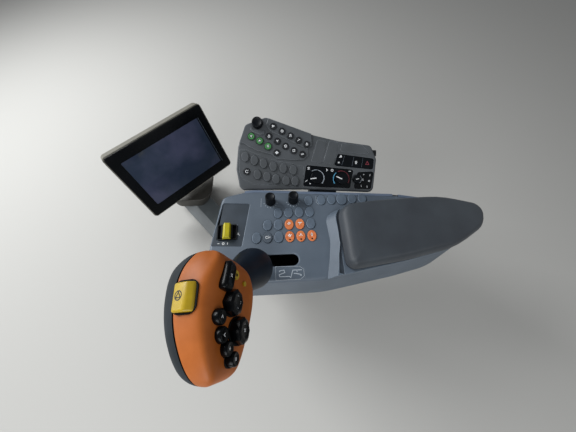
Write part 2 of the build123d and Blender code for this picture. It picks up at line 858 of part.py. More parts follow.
# Two terraces rise outboard, one behind each row of round keys
low_terrace = [
    (94, 160), (94, 129), (85, 116), (77, 100), (68, 70), (59, 60),
    (55, 28), (55, 4), (64, -6), (84, -5), (170, -5), (170, 160),
]
high_terrace = [
    (170, 75), (142, 75), (130, 80), (119, 74), (104, 48), (94, 29),
    (77, -5), (84, -14), (104, -14), (170, -14),
]
knob_ridge = [(131, 110), (124, 106), (118, 96), (118, 85), (112, 84), (110, 94), (116, 108), (122, 113)]
# The fine groove round the block of blank keys
block_seam = [
    (81, 139), (79, 124), (68, 100), (57, 74), (50, 45), (44, 20), (40, 6), (23, 5),
    (-2, 6), (4, 60), (8, 112), (18, 134), (32, 141),
]
oval_u = 20.5
oval_v = 15.5
round_r = 7.2
green_r = 8.4
pod_pocket = 1.5
oval_rise = 2.4
pod_rise = 1.5
pod_edge = 0.7
# u and v of each key's centre on the pod's face
blank_ovals = [
    (65, 127), (57, 108), (50, 89), (43, 69), (38, 48), (34, 27),
    (27, 103), (22, 83), (16, 64), (12, 43), (10, 24),
]
green_keys = [(107, 112), (97, 95), (85, 78)]
low_keys = [(34, 125)]
middle_keys = [(71, 60), (106, 75), (95, 58), (84, 41), (74, 24), (66, 6)]
high_keys = [(126, 65), (115, 47), (105, 30), (95, 13), (86, -4)]
dials = [(15, -21), (11, -75)]
dial_r = 12
dial_rise = 12
small_dial_at = (9, -108.3)
small_dial_r = 8.6
small_dial_rise = 6
pod_knob_at = (131, 100)
pod_knob_r = 12
pod_knob_rise = 18
panel_rise = 0.4
panel_corner_r = 4
climate_corners = [(43, -2), (29.5, -102), (-9.5, -93), (-1, 7)]
strip_corners = [(64.5, -70), (51.5, -147), (28.5, -144), (40, -61)]
keypad_corners = [(24, -112), (24, -146), (-13, -138), (-11, -102), (10, -106)]
blank_corners = [
    [(96, -27), (91, -47), (46, -34.5), (49.5, -11)],
    [(93, -53), (88.5, -73), (41.5, -60), (47, -37)],
    [(87, -78), (80.5, -123), (59.5, -141), (69, -75)],
]


def pod_face_outline(inset=0):
    """The pod's outline on its own plane."""
    with BuildSketch(Plane.XY) as outline:
        Polygon(*pod_outline, align=None)
        fillet(outline.vertices(), radius=pod_corner_r)
        if inset:
            offset(amount=-inset)
    return outline.sketch


def panel_outline(corners, grow=0):
    """A panel's face with rounded corners."""
    with BuildSketch(Plane.XY) as outline:
        Polygon(*corners, align=None)
        fillet(outline.vertices(), radius=panel_corner_r)
        if grow:
            offset(amount=grow)
    return outline.sketch


with BuildPart() as pod_back:
    with BuildSketch(pod_plane.offset(-pod_thick)):
        add(pod_face_outline(4))
    extrude(amount=pod_thick - pod_face_thick)
    fillet(pod_back.faces().sort_by(normal_axis(pod_plane))[0].edges(), radius=4)
keep(pod_back.part, "pod_back")

with BuildPart() as pod_face:
    with BuildSketch(pod_plane.offset(-pod_face_thick)):
        add(pod_face_outline())
    extrude(amount=pod_face_thick)
    fillet(pod_face.faces().sort_by(normal_axis(pod_plane))[-1].edges(), radius=slope_rise)
    for level, corners in ((1, low_terrace), (2, high_terrace), (2, knob_ridge)):
        with BuildPart(mode=Mode.PRIVATE) as terrace:
            with BuildSketch(pod_plane.offset(-slope_rise)):
                Polygon(*corners, align=None)
            extrude(amount=slope_rise + level * step_rise)
            with BuildSketch(pod_plane.offset(-slope_rise)):
                add(pod_face_outline(0.5))
            extrude(amount=slope_rise + level * step_rise, mode=Mode.INTERSECT)
        add(terrace.part)
    with BuildSketch(pod_plane.offset(step_rise)):
        with Locations(pod_knob_at):
            Circle(pod_knob_r + fit_gap)
    extrude(amount=slope_rise, mode=Mode.SUBTRACT)
    for level, ovals, greens, rounds in (
        (0, blank_ovals, [], low_keys),
        (1, [], green_keys, middle_keys),
        (2, [], [], high_keys),
    ):
        with BuildSketch(pod_plane.offset(level * step_rise)):
            for spot in ovals:
                with Locations(spot):
                    Ellipse(oval_u / 2 + fit_gap, oval_v / 2 + fit_gap)
            for spot in greens:
                with Locations(spot):
                    Circle(green_r + fit_gap)
            for spot in rounds:
                with Locations(spot):
                    Circle(round_r + fit_gap)
        extrude(amount=-pod_pocket, mode=Mode.SUBTRACT)
    with BuildSketch(pod_plane):
        add(panel_outline(block_seam, 0.8))
        add(panel_outline(block_seam), mode=Mode.SUBTRACT)
    extrude(amount=-plate_sink, mode=Mode.SUBTRACT)
    with BuildSketch(pod_plane):
        for corners in (climate_corners, strip_corners, keypad_corners, *blank_corners):
            add(panel_outline(corners, fit_gap))
        with Locations(small_dial_at):
            Circle(small_dial_r + fit_gap)
    extrude(amount=-pod_pocket, mode=Mode.SUBTRACT)
keep(pod_face.part, "pod_face")

with BuildPart() as pod_ovals:
    with BuildSketch(pod_plane.offset(-pod_pocket)):
        with Locations(*blank_ovals):
            Ellipse(oval_u / 2, oval_v / 2)
    extrude(amount=pod_pocket + oval_rise)
    fillet(pod_ovals.faces().group_by(normal_axis(pod_plane))[-1].edges(), radius=pod_edge)
keep(pod_ovals.part, "pod_ovals")

for label, radius, groups in (
    ("pod_green_keys", green_r, [(1, green_keys)]),
    ("pod_round_keys", round_r, [(0, low_keys), (1, middle_keys), (2, high_keys)]),
):
    with BuildPart() as pod_keys:
        for level, spots in groups:
            with BuildPart(mode=Mode.PRIVATE) as key_row_part:
                with BuildSketch(pod_plane.offset(level * step_rise - pod_pocket)):
                    with Locations(*spots):
                        Circle(radius)
                extrude(amount=pod_pocket + pod_rise)
                top_faces = key_row_part.faces().group_by(normal_axis(pod_plane))[-1]
                fillet(top_faces.edges(), radius=pod_edge)
            add(key_row_part.part)
    keep(pod_keys.part, label)

for label, outlines in (
    ("climate_panel", [climate_corners]),
    ("switch_strip", [strip_corners]),
    ("mode_keypad", [keypad_corners]),
    ("pod_blanks", blank_corners),
):
    with BuildPart() as panel:
        with BuildSketch(pod_plane.offset(-pod_pocket)):
            for corners in outlines:
                add(panel_outline(corners))
            if label == "mode_keypad":
                with Locations(small_dial_at):
                    Circle(small_dial_r + fit_gap, mode=Mode.SUBTRACT)
        extrude(amount=pod_pocket + panel_rise)
    keep(panel.part, label)

with BuildPart() as climate_dials:
    with BuildSketch(pod_plane.offset(panel_rise)):
        with Locations(*dials):
            Circle(dial_r)
    extrude(amount=dial_rise)
    fillet(climate_dials.faces().group_by(normal_axis(pod_plane))[-1].edges(), radius=1)
    with BuildPart(mode=Mode.PRIVATE) as small_dial:
        with BuildSketch(pod_plane.offset(-pod_pocket)):
            with Locations(small_dial_at):
                Circle(small_dial_r)
        extrude(amount=pod_pocket + small_dial_rise)
        fillet(small_dial.faces().sort_by(normal_axis(pod_plane))[-1].edges(), radius=1)
    add(small_dial.part)
keep(climate_dials.part, "climate_dials")

with BuildPart() as pod_knob:
    with BuildSketch(pod_plane.offset(step_rise)):
        with Locations(pod_knob_at):
            Circle(pod_knob_r)
    extrude(amount=pod_knob_rise)
    fillet(pod_knob.faces().sort_by(normal_axis(pod_plane))[-1].edges(), radius=1.5)
keep(pod_knob.part, "pod_knob")

# Pod bracket: a cast arm from the console's outboard wall to the pod's back
pod_under = pod_plane.offset(-pod_thick)
bracket_inner = pod_under.from_local_coords((24, 0, 0))
bracket_outer = pod_under.from_local_coords((78, 0, 0))
bracket_foot = (80, 84)
bracket_high = 108
bracket_y = (-10, 50)
with BuildPart() as pod_bracket:
    with BuildSketch(Plane.XZ.offset(-bracket_y[1])):
        Polygon(
            (bracket_inner.X, bracket_inner.Z),
            (bracket_outer.X, bracket_outer.Z),
            (bracket_outer.X - 10, bracket_high + 6),
            bracket_foot,
            (bracket_foot[0], bracket_high),
            align=None,
        )
    extrude(amount=bracket_y[1] - bracket_y[0])
    add(shell_form.part, mode=Mode.SUBTRACT)
keep(pod_bracket.part, "pod_bracket")
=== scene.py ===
import math

import bmesh
import bpy
from mathutils import Matrix, Vector, kdtree


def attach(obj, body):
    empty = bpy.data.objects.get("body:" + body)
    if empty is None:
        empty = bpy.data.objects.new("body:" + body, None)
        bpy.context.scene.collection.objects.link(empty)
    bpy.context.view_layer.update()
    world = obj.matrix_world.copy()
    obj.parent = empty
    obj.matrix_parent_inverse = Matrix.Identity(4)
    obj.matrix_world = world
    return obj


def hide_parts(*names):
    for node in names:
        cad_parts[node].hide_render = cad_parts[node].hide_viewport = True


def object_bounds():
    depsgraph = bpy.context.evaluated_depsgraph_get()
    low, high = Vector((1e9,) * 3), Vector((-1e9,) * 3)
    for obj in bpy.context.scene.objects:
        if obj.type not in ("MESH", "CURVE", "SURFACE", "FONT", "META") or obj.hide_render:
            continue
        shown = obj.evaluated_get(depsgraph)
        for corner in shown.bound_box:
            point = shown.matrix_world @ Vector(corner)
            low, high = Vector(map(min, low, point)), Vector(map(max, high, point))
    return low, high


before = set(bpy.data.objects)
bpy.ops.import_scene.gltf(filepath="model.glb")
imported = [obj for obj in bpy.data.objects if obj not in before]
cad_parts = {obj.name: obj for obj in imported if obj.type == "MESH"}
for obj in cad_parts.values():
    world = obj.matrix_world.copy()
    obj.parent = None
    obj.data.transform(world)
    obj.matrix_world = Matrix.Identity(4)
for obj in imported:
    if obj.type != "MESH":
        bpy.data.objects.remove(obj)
cad_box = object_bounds()

# Camera: a phone's wide lens held above the seat, looking down and outboard
# at the console. Its place is in metres; its lens suits a 36 mm wide sensor.
CAMERA_AT = (-0.1771, 0.1177, 0.6003)
PICTURE_RIGHT = Vector((-0.0519, -0.9986, 0.0075))
TOWARDS_CAMERA = Vector((-0.4433, 0.0298, 0.8959))
LENS_MM = 15.39
right = PICTURE_RIGHT.normalized()
back = TOWARDS_CAMERA.normalized()
up = back.cross(right).normalized()
camera_data = bpy.data.cameras.new("camera")
camera_data.sensor_width = 36
camera_data.lens = LENS_MM
camera_data.clip_start = 0.02
camera = bpy.data.objects.new("camera", camera_data)
camera.matrix_world = Matrix((right, up, back)).transposed().to_4x4()
camera.location = CAMERA_AT
bpy.context.scene.collection.objects.link(camera)
bpy.context.scene.camera = camera
bpy.context.scene.view_settings.view_transform = "Standard"

# Studio floor: a pale board in matt paint, just under the part's lowest point.
# A soft window-like light comes from the front, with weaker ones from the
# seat's side and from behind.
FLOOR_HALF = 4.0
FLOOR_GAP = 0.002


def colour(code):
    """An sRGB hex value as linear red, green, blue and alpha."""
    parts = [int(code[i : i + 2], 16) / 255 for i in (1, 3, 5)]
    return tuple(c / 12.92 if c <= 0.04045 else ((c + 0.055) / 1.055) ** 2.4 for c in parts) + (1,)


def add_node(tree, kind, settings=(), values=(), links=()):
    """A shader node with its settings, its sockets' values and its links."""
    made = tree.nodes.new(kind)
    for name, value in dict(settings).items():
        setattr(made, name, value)
    for name, value in dict(values).items():
        made.inputs[name].default_value = value
    for name, source in dict(links).items():
        tree.links.new(source, made.inputs[name])
    return made


def surface_of(material):
    """A material's node tree and its surface node."""
    return material.node_tree, material.node_tree.nodes["Principled BSDF"]


def new_material(name, values):
    """A plain material whose surface has these values."""
    made = bpy.data.materials.new(name)
    made.use_nodes = True
    for socket, value in values.items():
        surface_of(made)[1].inputs[socket].default_value = value
    return made


board = new_material("painted_board", {"Base Color": colour("#B6B5B1"), "Roughness": 0.85})
floor_mesh = bpy.data.meshes.new("floor")
floor_z = cad_box[0][2] - FLOOR_GAP
corners = [(x * FLOOR_HALF, y * FLOOR_HALF, floor_z) for x, y in ((-1, -1), (1, -1), (1, 1), (-1, 1))]
floor_mesh.from_pydata(corners, [], [(0, 1, 2, 3)])
floor_mesh.materials.append(board)
floor = bpy.data.objects.new("floor", floor_mesh)
bpy.context.scene.collection.objects.link(floor)

world = bpy.data.worlds.new("studio")
world.use_nodes = True
bpy.context.scene.world = world
sky = world.node_tree.nodes["Background"]
sky.inputs["Color"].default_value = colour("#EEF1F5")
sky.inputs["Strength"].default_value = 0.25
# place and aim in metres, width in metres, power in watts
for name, place, aim, width, power in (
    ("window_light", (0.8, 1.45, 1.15), (0, 0.15, 0.15), 0.9, 34),
    ("low_front_light", (-0.1, 1.9, 0.7), (0, 0.1, 0.15), 0.8, 6),
    ("side_light", (-1.15, 0.5, 0.75), (-0.05, 0.15, 0.2), 0.8, 10),
    ("rear_light", (-0.8, -0.8, 1.1), (-0.15, 0.15, 0.3), 0.8, 3.6),
):
    lamp = bpy.data.lights.new(name, "AREA")
    lamp.size = width
    lamp.energy = power
    lamp.color = (0.97, 0.985, 1.0)
    holder = bpy.data.objects.new(name, lamp)
    holder.location = place
    holder.rotation_euler = (Vector(aim) - Vector(place)).to_track_quat("-Z", "Y").to_euler()
    bpy.context.scene.collection.objects.link(holder)

# Seat bracket: laser-cut 6 mm steel plate with two welded rails, powder
# coated satin black. The coat's slight orange peel softens what it reflects.
MM = 0.001  # one millimetre in metres, Blender's unit


def dress(material, *nodes):
    """Gives CAD nodes their finished material."""
    for name in nodes:
        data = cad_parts[name].data
        data.materials.clear()
        data.materials.append(material)


def surface_bump(material, grain_mm, deep_mm, kind="ShaderNodeTexNoise"):
    """Relief on a surface: cloudy grains of a real size and depth, or cells like leather's."""
    tree, surface = surface_of(material)
    place = add_node(tree, "ShaderNodeTexCoord")
    scale = {"Scale": 1 / (grain_mm * MM)}
    pattern = add_node(tree, kind, values=scale, links={"Vector": place.outputs["Object"]})
    height = {"Height": pattern.outputs[0]}
    bump = add_node(tree, "ShaderNodeBump", values={"Strength": 1.0, "Distance": deep_mm * MM}, links=height)
    tree.links.new(bump.outputs["Normal"], surface.inputs["Normal"])


def two_tone(material, dark, light, patch_mm, low=0.35, high=0.65):
    """Colour that wanders between two tones over patches of a real size."""
    tree, surface = surface_of(material)
    place = add_node(tree, "ShaderNodeTexCoord")
    scale = {"Scale": 1 / (patch_mm * MM), "Detail": 4.0}
    patches = add_node(tree, "ShaderNodeTexNoise", values=scale, links={"Vector": place.outputs["Object"]})
    ramp = add_node(tree, "ShaderNodeValToRGB", links={"Fac": patches.outputs["Fac"]})
    for stop, position, tone in zip(ramp.color_ramp.elements, (low, high), (dark, light)):
        stop.position = position
        stop.color = colour(tone)
    tree.links.new(ramp.outputs["Color"], surface.inputs["Base Color"])


def edges_with_painted_light(material, round_mm, corner_mm, darkest_painted_shade, painted_edge_highlight=1.5):
    """Rounds a moulding's sharp edges in its shading, paints highlights along them and paints shade into its
    grooves and corners.
    """
    tree, surface = surface_of(material)
    soft = add_node(tree, "ShaderNodeBevel", {"samples": 6}, {"Radius": round_mm * MM})
    bumps = surface.inputs["Normal"].links
    under = bumps[0].from_node if bumps else surface
    tree.links.new(soft.outputs["Normal"], under.inputs["Normal"])
    base = surface.inputs["Base Color"].links[0].from_socket
    # painted shade: ambient occlusion darkens the colour in grooves and corners
    corner = add_node(tree, "ShaderNodeAmbientOcclusion", {"samples": 8}, {"Distance": corner_mm * MM})
    to_range = {"To Min": darkest_painted_shade, "To Max": 1.0}
    shade = add_node(tree, "ShaderNodeMapRange", values=to_range, links={"Value": corner.outputs["AO"]})
    # painted highlight: the colour is brightened along edges, where the rounded normal leaves the flat one
    flat = add_node(tree, "ShaderNodeNewGeometry")
    normals = {0: soft.outputs["Normal"], 1: flat.outputs["Normal"]}
    facing = add_node(tree, "ShaderNodeVectorMath", {"operation": "DOT_PRODUCT"}, links=normals)
    to_range = {"From Min": 1.0, "From Max": 0.9, "To Min": 1.0, "To Max": painted_edge_highlight}
    edge = add_node(tree, "ShaderNodeMapRange", values=to_range, links={"Value": facing.outputs["Value"]})
    shares = {0: shade.outputs["Result"], 1: edge.outputs["Result"]}
    both = add_node(tree, "ShaderNodeMath", {"operation": "MULTIPLY"}, links=shares)
    tones = {0: base, "Scale": both.outputs[0]}
    mixed = add_node(tree, "ShaderNodeVectorMath", {"operation": "SCALE"}, links=tones)
    tree.links.new(mixed.outputs[0], surface.inputs["Base Color"])


powder_coat = new_material("black_powder_coat", {"Roughness": 0.42})
two_tone(powder_coat, "#1B1C1E", "#232427", patch_mm=30)
surface_bump(powder_coat, grain_mm=2.5, deep_mm=0.03)
dress(powder_coat, "seat_bracket")

# Slide, lever bracket, pins and shaft: machined steel with a bright zinc
# plating, which is pale, slightly clouded and a little uneven.
zinc = new_material("zinc_plated_steel", {"Metallic": 1.0, "Roughness": 0.34})
two_tone(zinc, "#9DA2A6", "#B9BDC0", patch_mm=18)
surface_bump(zinc, grain_mm=1.2, deep_mm=0.01)
dress(zinc, "slide_carriage", "lever_bracket", "lever_pin", "lid_pin", "lever_shaft", "tilt_pin")

# Lower pan, storage bin, lid base and pod bracket: injection-moulded black
# polypropylene with a fine spark-eroded grain that leaves it dull.
black_grain = new_material("grained_black_polypropylene", {"Roughness": 0.55})
two_tone(black_grain, "#17181A", "#1F2022", patch_mm=40)
surface_bump(black_grain, grain_mm=1.4, deep_mm=0.06)
dress(black_grain, "lower_pan", "storage_bin", "lid_base", "pod_bracket")

# Console shell: one ABS moulding in a cool mid grey. Its leather grain takes
# the gloss off. The real grain is about 0.8 mm; it is drawn at 1.8 mm, because
# a finer one would not show.
GRAIN_MM = 1.8
LEATHER = "ShaderNodeTexVoronoi"
grey_abs = new_material("grained_grey_abs", {"Roughness": 0.48})
two_tone(grey_abs, "#4E5965", "#57626E", patch_mm=60)
surface_bump(grey_abs, grain_mm=GRAIN_MM, deep_mm=0.07, kind=LEATHER)
# painted light: highlights painted along the shell's edges and shade painted into its grooves and corners
edges_with_painted_light(grey_abs, round_mm=1.4, corner_mm=4, darkest_painted_shade=0.25, painted_edge_highlight=1.9)
dress(grey_abs, "console_shell")

# Deck keys: soft-touch caps moulded in grey, in dark grey and in translucent
# orange. The paint is matt and evens out the light; the orange caps let a
# little light in, so they look warm from within.
grey_key = new_material("soft_touch_grey_key", {"Roughness": 0.5})
two_tone(grey_key, "#505C69", "#586573", patch_mm=9)
surface_bump(grey_key, grain_mm=0.9, deep_mm=0.02)
# painted light: highlights painted on the keys' rims and shade painted in the grooves round them
edges_with_painted_light(grey_key, round_mm=1.5, corner_mm=3, darkest_painted_shade=0.15, painted_edge_highlight=3.2)
dress(grey_key, "keys_grey", "keys_large")

orange_key = new_material(
    "translucent_orange_key",
    {"Roughness": 0.38, "Subsurface Weight": 0.25, "Subsurface Radius": (0.004, 0.002, 0.001)},
)
two_tone(orange_key, "#C66C3C", "#D8804E", patch_mm=6)
surface_bump(orange_key, grain_mm=0.9, deep_mm=0.02)
# painted light: highlights painted on the keys' rims and shade painted in the grooves round them
edges_with_painted_light(orange_key, round_mm=1.2, corner_mm=2.5, darkest_painted_shade=0.45, painted_edge_highlight=1.8)
dress(orange_key, "keys_orange")

dark_key = new_material("soft_touch_dark_grey_key", {"Roughness": 0.5})
two_tone(dark_key, "#434D58", "#4B5560", patch_mm=9)
surface_bump(dark_key, grain_mm=0.9, deep_mm=0.02)
# painted light: highlights painted on the key's rim and shade painted in the groove round it
edges_with_painted_light(dark_key, round_mm=0.8, corner_mm=2.0, darkest_painted_shade=0.6)
dress(dark_key, "key_symbol")

# Printed marks on the deck keys: white pictograms, pad-printed in matt ink
# that stands a little proud of the cap, and small satin black dots beside
# three of them.
DECK = 165.0
KEY_TOP = DECK + 1.6
KEY_INK = 0.15


def ribbon(strokes, width, low, high, origin, x_dir, z_dir):
    """Vertices and faces of flat strokes: each a list of u, v in mm on a plane, closed if its ends meet."""
    x_dir, z_dir = Vector(x_dir).normalized(), Vector(z_dir).normalized()
    y_dir = z_dir.cross(x_dir)
    verts, faces = [], []
    for line in strokes:
        points = [Vector(p) for p in line]
        closed = (points[0] - points[-1]).length < 1e-6
        if closed:
            points = points[:-1]
        count = len(points)
        start = len(verts)
        for i, p in enumerate(points):
            before = points[i - 1] if (closed or i) else p - (points[1] - p)
            after = points[(i + 1) % count] if (closed or i < count - 1) else p + (p - points[i - 1])
            a, b = (p - before).normalized(), (after - p).normalized()
            normal = Vector((-(a.y + b.y), a.x + b.x))
            normal = normal.normalized() if normal.length > 1e-6 else Vector((-a.y, a.x))
            reach = width / 2 / max(0.45, normal.dot(Vector((-a.y, a.x))))
            for side, level in ((1, low), (1, high), (-1, high), (-1, low)):
                q = p + normal * reach * side
                verts.append((Vector(origin) + x_dir * q.x + y_dir * q.y + z_dir * level) * MM)
        for i in range(count if closed else count - 1):
            j = (i + 1) % count
            for k in range(4):
                m = (k + 1) % 4
                faces.append((start + 4 * i + k, start + 4 * i + m, start + 4 * j + m, start + 4 * j + k))
        if not closed:
            faces.append(tuple(start + k for k in (3, 2, 1, 0)))
            faces.append(tuple(start + 4 * (count - 1) + k for k in range(4)))
    return verts, faces


def ring(u, v, radius, start=0, end=360, points=20):
    """An arc or a full circle of points about u, v."""
    return [
        (u + radius * math.cos(math.radians(start + (end - start) * i / points)),
         v + radius * math.sin(math.radians(start + (end - start) * i / points)))
        for i in range(points + 1)
    ]


def piece(name, verts, faces, material, body, smooth=True, replaces=(), slot=None):
    """A mesh object that rides on a body, and may stand for CAD nodes."""
    data = bpy.data.meshes.new(name)
    data.from_pydata([tuple(v) for v in verts], [], faces)
    data.validate()
    shape = bmesh.new()
    shape.from_mesh(data)
    bmesh.ops.recalc_face_normals(shape, faces=shape.faces)
    shape.to_mesh(data)
    shape.free()
    data.materials.append(material)
    if smooth:
        data.shade_smooth()
    made = bpy.data.objects.new(name, data)
    bpy.context.scene.collection.objects.link(made)
    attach(made, body)
    if replaces:
        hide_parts(*replaces)
    return made


def joined(parts):
    """Several sets of vertices and faces as one."""
    verts, faces = [], []
    for v, f in parts:
        faces += [tuple(i + len(verts) for i in face) for face in f]
        verts += v
    return verts, faces


def flat_piece(name, parts, material, body="console"):
    """A flat-faced piece made of several sets of vertices and faces."""
    return piece(name, *joined(parts), material, body, smooth=False)


def deck_print(strokes, width, thick, at=(0, 0, DECK)):
    """Strokes on the deck: right and up as the operator sees them."""
    return ribbon(strokes, width, 0, thick, at, (0, -1, 0), (0, 0, 1))


black_key = new_material("satin_black_key", {"Roughness": 0.36, "Specular IOR Level": 0.3})
two_tone(black_key, "#101214", "#17191C", patch_mm=8)
surface_bump(black_key, grain_mm=0.9, deep_mm=0.015)
white_ink = new_material("white_pad_print", {"Roughness": 0.6})
two_tone(white_ink, "#D5D8DA", "#E6E8E9", patch_mm=3)

# key's centre x, y, stroke width, and strokes right and up from the centre, in mm
deck_marks = [
    (20, 102, 1.4, [[(-3.4, 1.5), (-0.5, -0.5), (3, 2.4)], [(-1.5, 3.4), (1.5, 3.4)]]),
    (20, 81, 1.4, [[(-3.6, 2.4), (3.6, 2.4)], [(0.6, 2.0), (-1, -2)]]),
    (-5.5, 102, 1.6, [[(-3, 0.5), (-0.5, 4.2), (1, 1.6), (3.6, 3.6)], [(-1.5, -0.6), (2, 0.2)]]),
    (-5.5, 81, 1.2, [[(-3, 0), (0, 2.8), (3, 0)], [(-1.2, 4.4), (1.2, 4.4)]]),
    (-5.5, 60, 2.0, [[(0, -1.5), (0, 3.6)], [(-1.4, 1.6), (0, 4.0), (1.4, 1.6)]]),
    (-5.5, 144, 0.9, [
        ring(-1.8, 0, 2.3, 40, 320, 12), [(1.2, -2.8), (1.2, 2.8)], [(1.2, 0), (4.4, 0)],
        [(4.4, -1.6), (4.4, 1.6)],
    ]),
]
key_prints = [deck_print(strokes, width, KEY_INK, (x, y, KEY_TOP)) for x, y, width, strokes in deck_marks]
dot = ring(0, 0, 0.8, points=8)
key_dots = [deck_print([dot], 1.6, KEY_INK, (-12, y, KEY_TOP)) for y in (102, 81, 60)]
flat_piece("deck_key_marks", key_prints, white_ink)
flat_piece("deck_key_dots", key_dots, black_key)

# Deck prints: tick marks round the two knobs, the lever's movement pattern
# and thin outlines in matt pale grey ink, and the switch's four signs in white.
DECK_INK = 0.12
OUTLINE_INK = 0.08
PANEL_DEEP = 1.5
SIGNS_RAISED = 0.22
KNOB_SPOTS = [(72, 137), (73, 91)]
TICK_ANGLES = (196, 220, 244, 270, 296, 320, 344)
TICK_FIRST, TICK_LAST = 12.6, 14.4
LEVER_PATTERN = [
    [(-123.8, -69.5), (-116, -68.6), (-114.6, -73), (-124.6, -76.6), (-124, -80), (-107, -80.3),
     (-104.4, -82.2), (-101.2, -72), (-100, -69.4), (-84.2, -69.6)],
    [(-98.8, -75.3), (-95.2, -75.6), (-86.6, -77.6)], [(-93.6, -69.4), (-92.6, -73)],
    ring(-123.8, -70.5, 0.6, points=8), ring(-86.4, -78.8, 0.7, points=8),
]
DECK_OUTLINES = [
    [(-155.8, 81), (-156.5, 61)], [(-43.6, 81), (-44.3, 66), (-39, 61)],
    [(-131, -62), (-88, -63), (-81.5, -67.5), (-80.5, -80.5), (-87.5, -86), (-131, -86), (-131, -62)],
]
SWITCH_SIGNS = [
    [(-238.2, -12.6), (-234.4, -12.6)], ring(-227.2, -13, 2.0, points=12), [(-219.4, -15), (-219.4, -11)],
    ring(-199.9, 5.6, 1.4, 30, 300, 10), [(-199, 3.8), (-196.8, 2.6)],
]
grey_ink = new_material("pale_grey_pad_print", {"Roughness": 0.6})
two_tone(grey_ink, "#A3ADB6", "#B3BCC4", patch_mm=5)
ticks = []
for angle in map(math.radians, TICK_ANGLES):
    ticks.append([(r * math.cos(angle), r * math.sin(angle)) for r in (TICK_FIRST, TICK_LAST)])
prints = [deck_print(ticks, 1.1, DECK_INK, (x, y, DECK)) for x, y in KNOB_SPOTS]
prints.append(deck_print(LEVER_PATTERN, 1.3, DECK_INK))
prints.append(deck_print(DECK_OUTLINES, 0.55, OUTLINE_INK))
flat_piece("deck_prints", prints, grey_ink)
on_panel = (0, 0, DECK - PANEL_DEEP + SIGNS_RAISED)
flat_piece("switch_signs", [deck_print(SWITCH_SIGNS, 0.95, DECK_INK, on_panel)], white_ink)

# Front panel: a polycarbonate foil, glued into the deck's sunk panel round the
# engine switch. It is dark and grained, so the panel looks darker than the deck.
FOIL_THICK = 0.2
PANEL_CORNERS = [(73, 231.5), (69, 179.5), (-20, 193.5), (-17, 248.5)]
SWITCH_CORNERS = [(26.2, 240.6), (26.2, 201.4), (-7.2, 201.4), (-7.2, 240.6)]
panel_foil = new_material("dark_grey_panel_foil", {"Roughness": 0.5})
two_tone(panel_foil, "#222D37", "#2A3540", patch_mm=30)
surface_bump(panel_foil, grain_mm=GRAIN_MM, deep_mm=0.05, kind=LEATHER)
foil_z = DECK - PANEL_DEEP + FOIL_THICK / 2
verts = [Vector((x, y, foil_z)) * MM for x, y in PANEL_CORNERS + SWITCH_CORNERS]
faces = [(k, (k + 1) % 4, 4 + (k + 1) % 4, 4 + k) for k in range(4)]
panel = piece("front_panel", verts, faces, panel_foil, "console", smooth=False)
foil = panel.modifiers.new("foil", "SOLIDIFY")
foil.thickness = FOIL_THICK * MM
foil.offset = 0

# Outboard trim: a rounded strip of ABS, clipped along the deck's outboard
# edge in two lengths, with a black joint sunk between them. Its tone, paler than
# the deck, is a painted highlight of the light caught along that edge. It
# follows the moulded wall.
TRIM_STEP = 5
WALL_Z = 158.5
# first y, last y, and how far the length is sunk inward and down
TRIM_SPANS = [(190, -115, 0), (-127, -205, 0), (-115, -127, 1.2)]
# out from the wall, and height
TRIM_SECTION = [
    (-5.5, 163.0), (-4.5, 165.3), (-0.5, 165.3), (1.6, 164.2), (2.2, 162.2), (0.6, 158.5), (-4.0, 158.5),
]


def bands(rows, around):
    """Faces between rows of points that each run round a form."""
    faces = []
    for j in range(rows - 1):
        for i in range(around):
            k = (i + 1) % around
            faces.append((j * around + i, j * around + k, (j + 1) * around + k, (j + 1) * around + i))
    return faces


# paler than the deck: a painted highlight along the outboard edge
trim_painted_highlight = new_material("trim_with_painted_edge_highlight", {"Roughness": 0.42})
two_tone(trim_painted_highlight, "#5B687B", "#647184", patch_mm=40)
surface_bump(trim_painted_highlight, grain_mm=GRAIN_MM, deep_mm=0.04, kind=LEATHER)
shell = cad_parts["console_shell"]
bpy.context.view_layer.update()
into_shell = shell.matrix_world.inverted()
strips = []
for y_first, y_last, lower in TRIM_SPANS:
    verts = []
    steps = math.ceil((y_first - y_last) / TRIM_STEP)
    for j in range(steps + 1):
        y = y_first + (y_last - y_first) * j / steps
        start = into_shell @ (Vector((200, y, WALL_Z)) * MM)
        hit = shell.ray_cast(start, into_shell.to_3x3() @ Vector((-1, 0, 0)))[1]
        wall = (shell.matrix_world @ hit).x / MM
        verts += [Vector((wall + dx - lower, y, z - lower)) * MM for dx, z in TRIM_SECTION]
    size = len(TRIM_SECTION)
    ends = [tuple(range(size)), tuple(steps * size + k for k in range(size))]
    strips.append((verts, bands(steps + 1, size) + ends))
flat_piece("outboard_trim", strips[:2], trim_painted_highlight)
flat_piece("outboard_trim_joint", strips[2:], black_key)

# Engine switch: a rocker paddle of lemon yellow nylon, as moulded and with a
# satin sheen, in a satin black frame that snaps into the deck.
lemon_plastic = new_material("satin_lemon_plastic", {"Roughness": 0.4})
two_tone(lemon_plastic, "#AB9F14", "#B9AC1C", patch_mm=12)
surface_bump(lemon_plastic, grain_mm=1.0, deep_mm=0.02)
dress(lemon_plastic, "switch_paddle")
dress(black_key, "switch_frame")


